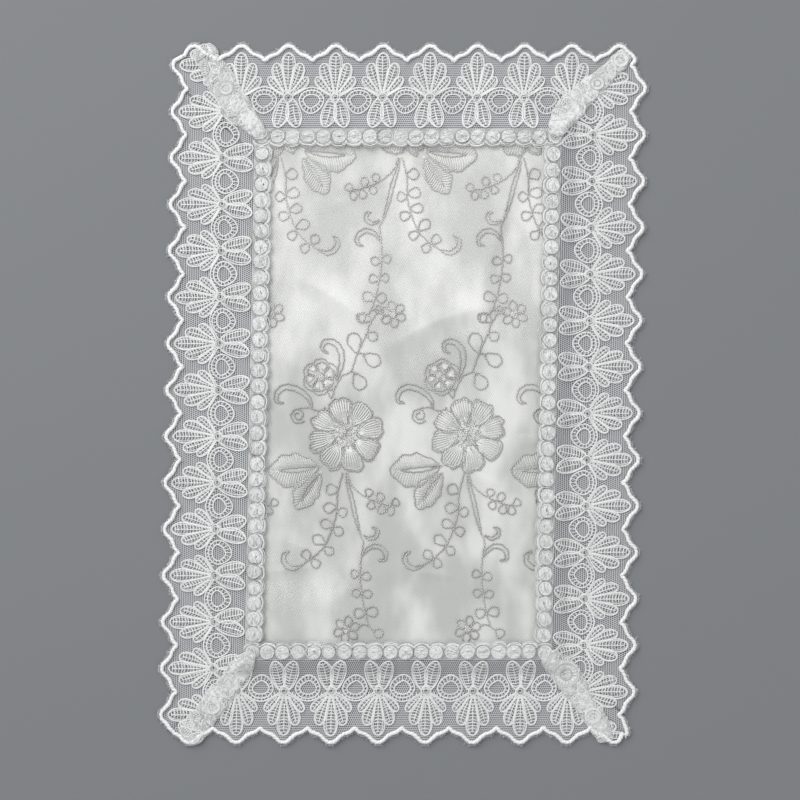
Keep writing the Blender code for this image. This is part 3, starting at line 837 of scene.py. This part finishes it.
def spray_piece(name, centre, flip, cad_prefix):
    """A spray with its middle at centre. flip is -1 for the mirrored row."""
    batches = []
    for paths, radius, closed, sides, tones, height in spray_batches():
        placed = paths * MM * [flip, 1] + centre
        beads = 1 + 0.22 * np.sin(2.6 * np.arange(paths.shape[1])) if paths.shape[0] == 1 else 1.0
        for kept, still_closed in trimmed(placed, closed, on_cloth):
            lift = (height + 0.1 * chance.random((len(kept), 1))) * MM
            top = face_height(kept[..., 0], kept[..., 1]) + lift
            batches.append((leaned(lifted(kept, top)), radius * MM * beads, still_closed, sides, tones))
    nodes = [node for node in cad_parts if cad_prefix and node.startswith(cad_prefix)]
    return finish_piece(thread_piece(name, batches, spray_thread), "embroidery_thread", *nodes)


across = np.array([REPEAT_ACROSS, 0])
spray_piece("left_spray", LOWER_SPRAY, 1, "left_spray_")
spray_piece("right_spray", LOWER_SPRAY + across, 1, "right_spray_")
spray_piece("left_edge_spray", LOWER_SPRAY - across, 1, None)
spray_piece("right_edge_spray", LOWER_SPRAY + 2 * across, 1, None)
spray_piece("upper_spray", UPPER_SPRAY, -1, "upper_spray_")
spray_piece("upper_left_spray", UPPER_SPRAY - across, -1, "upper_left_spray_")
spray_piece("upper_right_spray", UPPER_SPRAY + across, -1, "upper_right_spray_")

# %% [markdown]
# ## The film
#
# A thin clear film lies over the embroidered satin, held under the lace. It is only nearly flat: it follows
# the cloth's hollows at half their depth and its creases in full, so lights glint in it in small patches.

# %% Film
FILM_INSET = 0.001
x, y = panel_grid(FILM_INSET, 71, 121)
film_top = film_high.z + 0.0001 + 0.5 * hollows(x, y) * swell(x, y) + creases(x, y)
film = grid_piece("film_sheet", leaned(pack(x, y, film_top)), pack(x, y), clear_film)
finish_piece(thickened(film, FILM_THICK, -1), "clear_film", "clear_film")

# %% [markdown]
# ## The lace border
#
# Four strips of net carry the lace. The scalloped edge is one function: the cord's distance from the panel,
# a round cap that eases out and then drops into a sharp notch. The net, the cord and the frayed edge all
# use it.

# %% The scalloped edge
def scallops_on(length):
    """The whole number of scallops nearest to the wanted pitch, and the pitch that makes it come out even."""
    run = length + 2 * LACE_REACH
    count = round(run / SCALLOP_PITCH)
    return count, run / count


def scallop_reach(side, u):
    """Distance of the cord's middle from the panel: a round cap, easing out, then a sharp notch."""
    count, pitch = scallops_on(SIDES[side][0])
    offset = np.abs((u / pitch + count / 2 - SCALLOP_SHIFT[side]) % 1.0 - 0.5) * 2
    corner = CORNER_EASE * np.maximum(0, np.abs(u) - SIDES[side][0] / 2 - CORNER_START)
    cap = SCALLOP_CAP * (1 - np.exp(-((offset / 0.37) ** 2.6)))
    return LACE_REACH - cap - SCALLOP_CUSP * offset**5.5 - corner


def mitre_end(side, offset, sign):
    """Where the edge, moved out by offset, meets the mitre: halving the stretch until it is found."""
    length = SIDES[side][0]
    low, high = length / 2, length / 2 + LACE_REACH
    for _ in range(40):
        middle = (low + high) / 2
        if middle < length / 2 + scallop_reach(side, sign * middle) + offset:
            low = middle
        else:
            high = middle
    return sign * low


def palmette_axes(side):
    """Places of the scallops' tips along a side, with one beyond each end."""
    count, pitch = scallops_on(SIDES[side][0])
    return (np.arange(-1, count + 1) + 0.5 - count / 2 + SCALLOP_SHIFT[side]) * pitch, pitch


# %% Net strips
def net_piece(side):
    """The net from its heading out past the cord.

    Rows run along u. Towards the panel they shorten in the ratio that keeps both ends on the mitres.
    """
    length = SIDES[side][0]
    outer = CORD_WIDTH / 2 + NET_MARGIN
    inner = HEADING_WIDTH - 0.0008
    first, last = mitre_end(side, outer, -1), mitre_end(side, outer, 1)
    edge_u = np.linspace(first, last, scallops_on(length)[0] * 16 + 1)
    edge_t = scallop_reach(side, edge_u) + outer
    share = np.interp(np.arange(25), [0, 3, 11, 24], [0, 0.2, 0.38, 1])      # closest together over the edge
    t = -inner + share[:, None] * (edge_t + inner)
    u = edge_u * (length / 2 + t) / (length / 2 + edge_t)
    flat = pack(u, t, np.full(t.shape, 0.0001))
    piece = grid_piece(f"net_{side}", lay(side, flat), flat[..., :2], white_net)
    up = flat[1:, 1:] - flat[:-1, :-1]
    down = flat[1:, :-1] - flat[:-1, 1:]
    area = float(np.abs(up[..., 0] * down[..., 1] - up[..., 1] * down[..., 0]).sum() / 2)
    cut = (last - first, float(edge_t.max()) + inner)
    return finish_piece(thickened(piece, NET_THICK, 1), "white_net", f"net_strip_{side}"), cut, area


# %% The edge cord
def cord_batches(side):
    """A thick cord along the scallops, a little uneven in width and in place."""
    first, last = mitre_end(side, 0.0, -1), mitre_end(side, 0.0, 1)
    count, _ = scallops_on(SIDES[side][0])
    u = np.linspace(first, last, count * 22 + 1)
    path = smooth(pack(u, scallop_reach(side, u)), count * 40)
    beads = 1 + 0.10 * np.sin(2.2 * np.arange(len(path))) + 0.08 * np.sin(path[:, 0] * 470 + 1)
    path[:, 1] += 0.00015 * np.sin(path[:, 0] * 1900) * np.sin(path[:, 0] * 310)
    return [(lay(side, lifted(path, 0.0010))[None], CORD_WIDTH / 2 * beads, False, 10, (0.8, 1.0))]


def fray_batches(side):
    """Cut ends of net threads that stand out past the cord, each a short bent fibre."""
    first, last = mitre_end(side, 0.0, -1), mitre_end(side, 0.0, 1)
    number = int((last - first) / 0.0004)
    u = chance.uniform(first, last, number)
    base = scallop_reach(side, u) + CORD_WIDTH / 2
    reach = chance.uniform(0.0005, 0.0028, number)
    bent = chance.normal(0, 0.0009, number)
    s = np.array([0.0, 0.5, 1.0])
    path_u = u[:, None] + bent[:, None] * s**2
    path_t = base[:, None] - 0.0004 + reach[:, None] * s
    height = 0.0003 + chance.uniform(0, 0.0006, (number, 1)) * s
    return [(lay(side, pack(path_u, path_t, height)), 0.00012, False, 4, MIXED)]


# %% Make the cord and its frayed net
MOTIFS = {}
for side in SIDES:
    MOTIFS[side] = [
        finish_piece(thread_piece(f"cord_{side}", cord_batches(side), edge_thread),
                     "edge_cord", f"edge_cord_{side}"),
        finish_piece(thread_piece(f"fray_{side}", fray_batches(side), lace_thread), "white_net"),
    ]

# %% [markdown]
# ## Palmettes
#
# One repeat is drawn in millimetres: u sideways from the palmette's middle, t out from the panel. Every
# lobe and leaf is an outline, a vein and a ladder of stitches between them. An arch joins each palmette to
# the next, over a ring of ladder stitches. The right half is drawn; the left one is its mirror image.

# %% One repeat
OUTLINE, RUNG, VEIN = 0.50, 0.44, 0.40      # thread radii, mm


def mirrored(strokes):
    """Strokes (S, K, 2) with their mirror images in u."""
    return np.concatenate([strokes, strokes * [-1, 1]])


LOBES = [           # base, tip, width, bow, number of rungs, how far the widest part lies out, roundness
    ((0.0, 22.0), (0.0, 48.6), 8.4, 0.0, 13, 2.2, 0.45),
    ((0.8, 22.5), (8.0, 41.8), 7.2, -0.9, 10, 2.2, 0.45),
    ((2.5, 22.0), (12.2, 32.8), 5.6, -0.3, 6, 2.0, 0.45),
    ((2.4, 19.4), (6.3, 0.3), 9.6, -0.6, 10, 1.2, 0.5),
]


def palmette_batches():
    """One repeat as (paths (S, K, 2) in mm, radius, closed, sides, tones, height in mm)."""
    outlines, seconds, rungs, veins = [], [], [], []
    for base, tip, wide, bow, number, power, blunt in LOBES:
        outlines.append(lobe_outline(base, tip, wide, bow, power, blunt, 30))
        seconds.append(lobe_outline(base, tip, wide * 0.74, bow, power, blunt, 24))
        rungs.append(lobe_rungs(base, tip, wide, number, bow, power, blunt, 0.9))
        veins.append(lobe_sides(base, tip, 0, bow, np.linspace(0.25, 0.93, 9), power, blunt)[2])
    ring_out = smooth([(7.4, 19.6), (10.4, 23.4), (15, 24.6), (19.6, 23.4), (22.6, 19.6), (22.0, 15.2),
                       (18.6, 11.2), (14.2, 9.6), (10.2, 11.6), (7.8, 15.6)], 34, closed=True)
    ring_in = smooth([(9.8, 19.2), (11.8, 21.4), (15, 22.0), (18.2, 21.4), (20.2, 19.2), (19.6, 16.8),
                      (17.2, 14.6), (14.3, 13.3), (11.6, 14.8), (10.0, 17.0)], 34, closed=True)
    ring_rungs = np.stack([ring_in, (ring_in + ring_out) / 2, ring_out], axis=1)[::2]
    arch = smooth([(2.4, 20.8), (6.2, 22.8), (10.3, 25.4), (15, 26.6), (19.7, 25.4), (23.8, 22.8),
                   (27.6, 20.8)], 26)
    arch_rungs = np.stack([arch, arch - [0, 1.0], arch - [0, 2.0]], axis=1)[4:-3:2]
    hub = spiral((0, 20.0), 2.6, 1.7, 0.4, 24)
    rim = ellipse((0, 20.0), 3.0, 2.8, count=18)
    bright, dimmer = (0.75, 1.0), (0.45, 0.8)
    return [
        (np.stack(outlines[:1]), OUTLINE, True, 6, bright, 0.60),
        (mirrored(np.stack(outlines[1:])), OUTLINE, True, 6, bright, 0.56),
        (np.stack(seconds[:1]), RUNG, True, 4, bright, 0.44),
        (mirrored(np.stack(seconds[1:])), RUNG, True, 4, bright, 0.44),
        (np.stack(veins[:1]), VEIN, False, 6, bright, 0.66),
        (mirrored(np.stack(veins[1:])), VEIN, False, 6, bright, 0.62),
        (rungs[0], RUNG, False, 4, bright, 0.56),
        (mirrored(np.concatenate(rungs[1:])), RUNG, False, 4, bright, 0.52),
        (np.stack([ring_out, ring_in]), OUTLINE, True, 6, bright, 0.58),
        (ring_rungs, RUNG, False, 4, bright, 0.50),
        (arch[None], OUTLINE * 1.1, False, 6, bright, 0.70),
        (arch_rungs, RUNG, False, 4, bright, 0.52),
        (hub[None], OUTLINE * 0.9, False, 6, dimmer, 0.85),
        (rim[None], OUTLINE, True, 6, bright, 0.70),
    ]


# %% Repeat it along each side
FOLDS = {       # corner: points (out in x, out in y, half width) in mm from the panel's corner
    "top_left": [(-5, -5, 4), (4, 5, 7), (12, 15, 8.4), (20, 27, 8.8), (27, 38, 8.2), (32, 47, 7.8),
                 (35, 54, 6)],
    "top_right": [(-5, -4, 5), (0, 6, 8), (7, 15, 8.4), (14, 22, 7.8), (22, 29, 6.6), (30, 37, 5.8),
                  (37, 44, 5.6), (42, 50, 4)],
    "bottom_left": [(-5, -5, 4), (2, 5, 7), (10, 16, 7.5), (19, 28, 8), (27, 39, 8.4), (34, 48, 8),
                    (38, 53, 6)],
    "bottom_right": [(-6, -5, 4), (1, 1, 7), (9, 9, 9.6), (15, 18, 8), (21, 28, 6.8), (28, 37, 6.6),
                     (33, 45, 6.6), (36, 53, 5)],
}
EYELETS = {     # round eyelets that show on a fold: out in x, out in y and radius in mm
    "top_left": [(19, 26, 5.0)],
    "top_right": [(22, 29, 4.6), (37, 44, 4.4)],
    "bottom_left": [(20, 30, 5.0)],
    "bottom_right": [(9, 9, 8.4), (27, 36, 5.0)],
}
CORNERS = {"top_left": (-1, 1), "top_right": (1, 1), "bottom_left": (-1, -1), "bottom_right": (1, -1)}
SIDE_ENDS = {       # the corners at the far and near end of each side
    "top": ("top_right", "top_left"),
    "left": ("top_left", "bottom_left"),
    "bottom": ("bottom_left", "bottom_right"),
    "right": ("bottom_right", "top_right"),
}


def fold_limit(side, u, t):
    """How far along a side its lace reaches, at distance t out: to the middle of the fold at that end."""
    reach = []
    for corner in SIDE_ENDS[side]:
        line = np.array(FOLDS[corner])[:, :2] * MM
        out, along = (line[:, 1], line[:, 0]) if side in ("top", "bottom") else (line[:, 0], line[:, 1])
        reach.append(np.interp(t, out, along))
    return np.where(u > 0, reach[0], reach[1]) + SIDES[side][0] / 2 - 0.001


def palmette_row(side):
    """The repeat, once for each scallop, stretched to its pitch and cut at both mitres."""
    axes, pitch = palmette_axes(side)
    batches = []
    for paths, radius, closed, sides, tones, height in palmette_batches():
        shapes = paths * MM * [pitch / SCALLOP_PITCH, 1.0]
        every = (shapes + pack(axes, 0)[:, None, None]).reshape(-1, *paths.shape[1:])
        every = every + chance.normal(0, 0.00012, (len(every), 1, 2))

        def between_mitres(path):
            return np.abs(path[..., 0]) < fold_limit(side, path[..., 0], path[..., 1])

        for kept, still_closed in trimmed(every, closed, between_mitres):
            lift = (height + 0.08 * chance.random((len(kept), 1))) * MM
            batches.append((lay(side, lifted(kept, lift)), radius * MM, still_closed, sides, tones))
    row = thread_piece(f"palmettes_{side}", batches, lace_thread)
    return finish_piece(row, "lace_thread", f"palmette_row_{side}")


for side in SIDES:
    MOTIFS[side].append(palmette_row(side))

# %% [markdown]
# ## The row of rings
#
# The lace's heading lies on the panel. It carries a row of stitched rings, side by side: each is filled by
# a tight spiral of cord, with outlines, slanted stitches and short spokes over it, and arcs between it and
# the seam.

# %% Rings
RING_MIDDLE = -0.0056       # the rings' middles lie this far inside the panel's edge
RING_PITCH = 0.010
RING_GAP = 0.0236           # the side rows stop short by this much, for the top and bottom rows run past them


def ring_row(side):
    length = SIDES[side][0] - RING_GAP * (side in ("left", "right"))
    count = round(length / RING_PITCH)
    pitch = length / count
    axes = (np.arange(count) + 0.5 - count / 2) * pitch
    spoke = np.array([[2.4, 0.0], [3.4, 0.5], [4.5, 0.3]])
    bow = 4.9 * np.cos(np.linspace(0, np.pi, 12))
    arc = pack(bow, -4.0 - 2.6 * np.sin(np.linspace(0, np.pi, 12)))
    slants = np.array([[(-3.4, k), (0, 0.3 * k + 0.5), (3.2, k + 1.0)] for k in np.linspace(-3.2, 2.4, 6)])
    # The outer outline and the arc below are given dark tones: painted shade at the rings' edges
    shapes = [
        (spiral((0, 0), 4.4, 4.2, 0.3, 50)[None], 0.56, False, 6, (0.65, 1.0), 0.30),
        (ellipse((0, 0), 4.9, 4.7, count=22)[None], 0.36, True, 6, (0.0, 0.5), 0.60),
        (ellipse((0.4, 0.3), 4.1, 3.7, count=18)[None], 0.34, True, 6, (0.5, 1.0), 0.62),
        (slants, 0.34, False, 6, (0.3, 1.0), 0.56),
        (np.stack([turned(spoke, a) for a in around(11)]), 0.30, False, 4, (0.3, 1.0), 0.62),
        (arc[None], 0.40, False, 6, (0.0, 0.6), 0.52),
        (np.stack([arc + [0, 0.9], arc + [0, 1.8]]), 0.45, False, 6, (0.7, 1.0), 0.36),
    ]
    batches = []
    for paths, radius, closed, sides, tones, height in shapes:
        shape = paths * MM * [pitch / RING_PITCH, 1]
        every = (shape + pack(axes, RING_MIDDLE)[:, None, None]).reshape(-1, *paths.shape[1:])
        every = every + chance.normal(0, 0.00026, (len(every), 1, 2)) + chance.normal(0, 0.00014, every.shape)
        lift = (height + 0.1 * chance.random((len(every), 1))) * MM
        batches.append((lay(side, lifted(every, lift)), radius * MM, closed, sides, tones))
    row = thread_piece(f"rings_{side}", batches, lace_thread)
    return finish_piece(row, "lace_thread", f"ring_row_{side}")


for side in SIDES:
    MOTIFS[side].append(ring_row(side))
    net, cut, net_area = net_piece(side)
    print(f"{side}: strip {cut[0] / MM:.0f} x {cut[1] / MM:.0f} mm, area {net_area * 1e4:.0f} cm2")

# %% [markdown]
# ## Folded corners
#
# At each corner the lace is folded over and stitched down along the mitre, so it lies double and crumpled:
# a lumpy band of close net under a heap of palmette lobes that point all ways, with a round eyelet or two.
# No two corners are folded alike.

# %% Fold shapes
FOLD_ROWS = 90
LOBES_ON_FOLD = 72


def fold_frame(corner):
    """Middle line, sideways direction and half width of a fold, at evenly spaced rows, in metres."""
    line = smooth(FOLDS[corner], FOLD_ROWS)
    s = np.linspace(0, 1, FOLD_ROWS)
    bulge = 1 + 0.06 * np.sin(19 * s + len(corner)) + 0.04 * np.sin(47 * s + 2 * len(corner))
    return line[:, :2] * MM, sideways(line[:, :2]), line[:, 2] * MM * bulge


def lay_corner(corner, offset, height):
    """Points from their offset (..., 2) out from the panel's corner and their height, laid over the edge."""
    sign_x, sign_y = CORNERS[corner]
    x = sign_x * (PANEL_WIDTH / 2 + offset[..., 0])
    y = sign_y * (PANEL_LENGTH / 2 + offset[..., 1])
    t = offset.max(-1)
    loose = np.clip(t / DROP_RUN, 0, 1)
    return leaned(pack(x, y, height + drop_height(t) + loose * ripple(x, y)))


def lumps(offset):
    """Crumpling of the doubled lace: sines of short wavelength at unlike angles, 0 to about 1."""
    x, y = offset[..., 0] / MM, offset[..., 1] / MM
    waves = np.sin(0.9 * x + 0.5 * y) + np.sin(-0.6 * x + 1.1 * y + 1) + np.sin(1.6 * x - 0.9 * y + 2)
    return 0.5 + waves / 6


def fold_rise(share, offset):
    """Top of the doubled lace over the lace below, for a share 0 at the fold's middle to 1 at its edge."""
    return 0.0004 + np.sqrt(np.clip(1 - share**6, 0, 1)) * (0.0004 + 0.0005 * lumps(offset))


def fold_band(corner):
    """A flat lens of close net, widest in the middle, its height from fold_rise."""
    middle, across, half = fold_frame(corner)
    w = np.sin(np.linspace(-1, 1, 21) * np.pi / 2)
    end = np.sqrt(np.clip(1 - np.linspace(-1, 1, FOLD_ROWS) ** 30, 0, 1))
    offset = middle[:, None] + across[:, None] * (w[None, :, None] * (half * end)[:, None, None])
    height = 0.0004 + (fold_rise(np.abs(w)[None], offset) - 0.0004) * end[:, None]
    top = lay_corner(corner, offset, height)
    uv = pack(w * half[:, None], np.linspace(0, 0.075, FOLD_ROWS)[:, None])
    if CORNERS[corner][0] * CORNERS[corner][1] < 0:
        top, uv = top[:, ::-1], uv[:, ::-1]
    band = grid_piece(f"fold_{corner}", top, uv, shaded_fold_net)
    return finish_piece(thickened(band, FOLD_THICK, -1), "lace_thread", f"mitre_fold_{corner}")


def fold_lobes(corner):
    """Lobes heaped on the fold, turned within a wide fan about its line, each with rungs and a vein."""
    middle, across, half = fold_frame(corner)
    number = LOBES_ON_FOLD
    index = ((np.arange(number) * 1.87 + 3) % (FOLD_ROWS - 6)).astype(int)
    aside = chance.uniform(-0.75, 0.75, number)
    centre = middle[index] + across[index] * (aside * half[index])[:, None]
    heading = np.arctan2(-across[index, 0], across[index, 1])
    angle = heading + chance.normal(0, 0.75, number) + np.pi * (chance.random(number) < 0.3)
    long, wide = chance.uniform(8, 12, number), chance.uniform(4.8, 6.8, number)
    outline = lobe_outline((0, -0.5), (0, 0.5), 1.0, 0.0, 1.9, 0.6, 24)
    rungs = lobe_rungs((0, -0.5), (0, 0.5), 0.9, 7, 0.0, 1.9, 0.6, 0.06)
    cos, sin = np.cos(angle), np.sin(angle)
    turn = np.stack([pack(cos, sin), pack(-sin, cos)], axis=-2)
    size = pack(wide, long) * MM

    def from_middle(path):
        """Distance from the fold's middle line, as a share of its half width there."""
        away = np.linalg.norm(path[..., None, :] - middle[::3], axis=-1)
        return away.min(-1) / half[::3][away.argmin(-1)]

    batches = []
    # The outlines' lower tone range, against the bright rungs, is painted shade between the heaped lobes
    shapes = [(outline[None], 0.38, True, 6, 0.50, (0.3, 1.1)), (rungs, 0.38, False, 4, 0.34, (0.9, 1.3))]
    for paths, radius, closed, sides, lift, tones in shapes:
        scaled = paths[None] * size[:, None, None]
        every = np.einsum("nskj,nji->nski", scaled, turn) + centre[:, None, None]
        every = every.reshape(-1, *paths.shape[1:])
        for kept, still_closed in trimmed(every, closed, lambda path: from_middle(path) < 1.02):
            height = 0.0002 + fold_rise(np.clip(from_middle(kept), 0, 1), kept) + lift * MM
            batches.append((lay_corner(corner, kept, height), radius * MM, still_closed, sides, tones))
    for x, y, radius in EYELETS[corner]:
        spoke = np.array([(0.5, 0.0), (0.75, 0.03), (1.0, 0.0)])
        spokes = np.stack([turned(spoke, angle) for angle in around(18)])
        rings = np.stack([ellipse((0, 0), size, size * 0.94, count=24) for size in (1.0, 0.9, 0.46)])
        # The rings' low tones are painted shade, as on the lobes' outlines
        for paths, thick, closed, tones, lift in ((rings, 0.42, True, (0.2, 1.1), 0.95),
                                                  (spokes, 0.36, False, (0.8, 1.3), 0.80)):
            place = (paths * radius + [x, y]) * MM
            height = fold_rise(0 * place[..., 0], place) + lift * MM
            batches.append((lay_corner(corner, place, height), thick * MM, closed, 6, tones))
    return finish_piece(thread_piece(f"fold_lace_{corner}", batches, lace_thread), "lace_thread")


for corner in CORNERS:
    fold_band(corner)
    fold_lobes(corner)

# %% [markdown]
# ## The seam
#
# A line of machine stitches holds the lace's heading to the panel. Each stitch is a short thread that dips
# into the cloth at both ends.

# %% Seam stitches
STITCH_LENGTH, STITCH_STEP = 0.0024, 0.0028
SEAM_SET_IN = 0.0012        # the seam runs this far inside the heading's inner edge


def seam_stitches():
    """Evenly spaced stitches along each side of the seam: height falls as the square of s, -1 to 1."""
    batches = []
    s = np.linspace(-1, 1, 5)
    inset = HEADING_WIDTH - SEAM_SET_IN
    for side in SIDES:
        run = SIDES[side][0] - 2 * inset
        u = np.arange(-run / 2, run / 2, STITCH_STEP)[:, None] + STITCH_LENGTH / 2 * s
        flat = pack(u, -inset, 0.00055 - 0.0004 * s**2)
        batches.append((lay(side, flat), 0.00016, False, 6, MIXED))
    return thread_piece("seam_stitches", batches, edge_thread)


finish_piece(seam_stitches(), "sewing_thread", "seam_thread")

# %% [markdown]
# ## Floor, light and camera
#
# The pad lies on a plain floor of a middle grey. A broad soft light from the upper left, a weaker one from
# the lower right, and an even sky give white lace soft shadows. A wide dim light over the upper half and a
# small lamp over the lower left stand where the film mirrors them to the camera.

# %% Floor and lights
floor_material = new_material("floor", (0.215, 0.222, 0.23), 0.85, specular=0.15)[0]
bpy.ops.mesh.primitive_plane_add(size=60.0, location=(0, 0, cad_low.z - 0.0003))
floor = bpy.context.object
floor.name = "floor"
floor.data.materials.append(floor_material)


def area_light(name, place, target, width, length, power):
    data = bpy.data.lights.new(name, "AREA")
    data.shape = "RECTANGLE"
    data.size, data.size_y, data.energy = width, length, power
    light = bpy.data.objects.new(name, data)
    aim = Vector(target) - Vector(place)
    light.location = place
    light.rotation_euler = aim.to_track_quat("-Z", "Y").to_euler()
    bpy.context.scene.collection.objects.link(light)


LIGHTS = {      # place, target, width and length in metres, power in watts
    "key": ((-1.2, 1.5, 1.5), (0, 0, 0), 1.8, 1.8, 53),
    "fill": ((1.5, -1.0, 1.6), (0, 0, 0), 1.6, 1.6, 10),
    "window": ((0.0, 0.29, 1.6), (0.0, 0.29, 0), 0.5, 0.38, 1.0),
    "lamp": ((-0.21, -0.275, 2.0), (-0.21, -0.275, 0), 0.06, 0.06, 0.032),
}
for name, values in LIGHTS.items():
    area_light(name, *values)
world = bpy.data.worlds.new("sky")
world.use_nodes = True
world.node_tree.nodes["Background"].inputs["Color"].default_value = (0.94, 0.97, 1.0, 1.0)
world.node_tree.nodes["Background"].inputs["Strength"].default_value = 0.44
bpy.context.scene.world = world

# %% Camera straight above
CAMERA_ABOVE = 1.2127       # over the film
camera_data = bpy.data.cameras.new("camera")
camera_data.lens = 85
camera_data.sensor_width = 36
camera = bpy.data.objects.new("camera", camera_data)
camera.location = (-0.0021, -0.0037, film_high.z + CAMERA_ABOVE)
bpy.context.scene.collection.objects.link(camera)
bpy.context.scene.camera = camera
bpy.context.scene.view_settings.view_transform = "Standard"
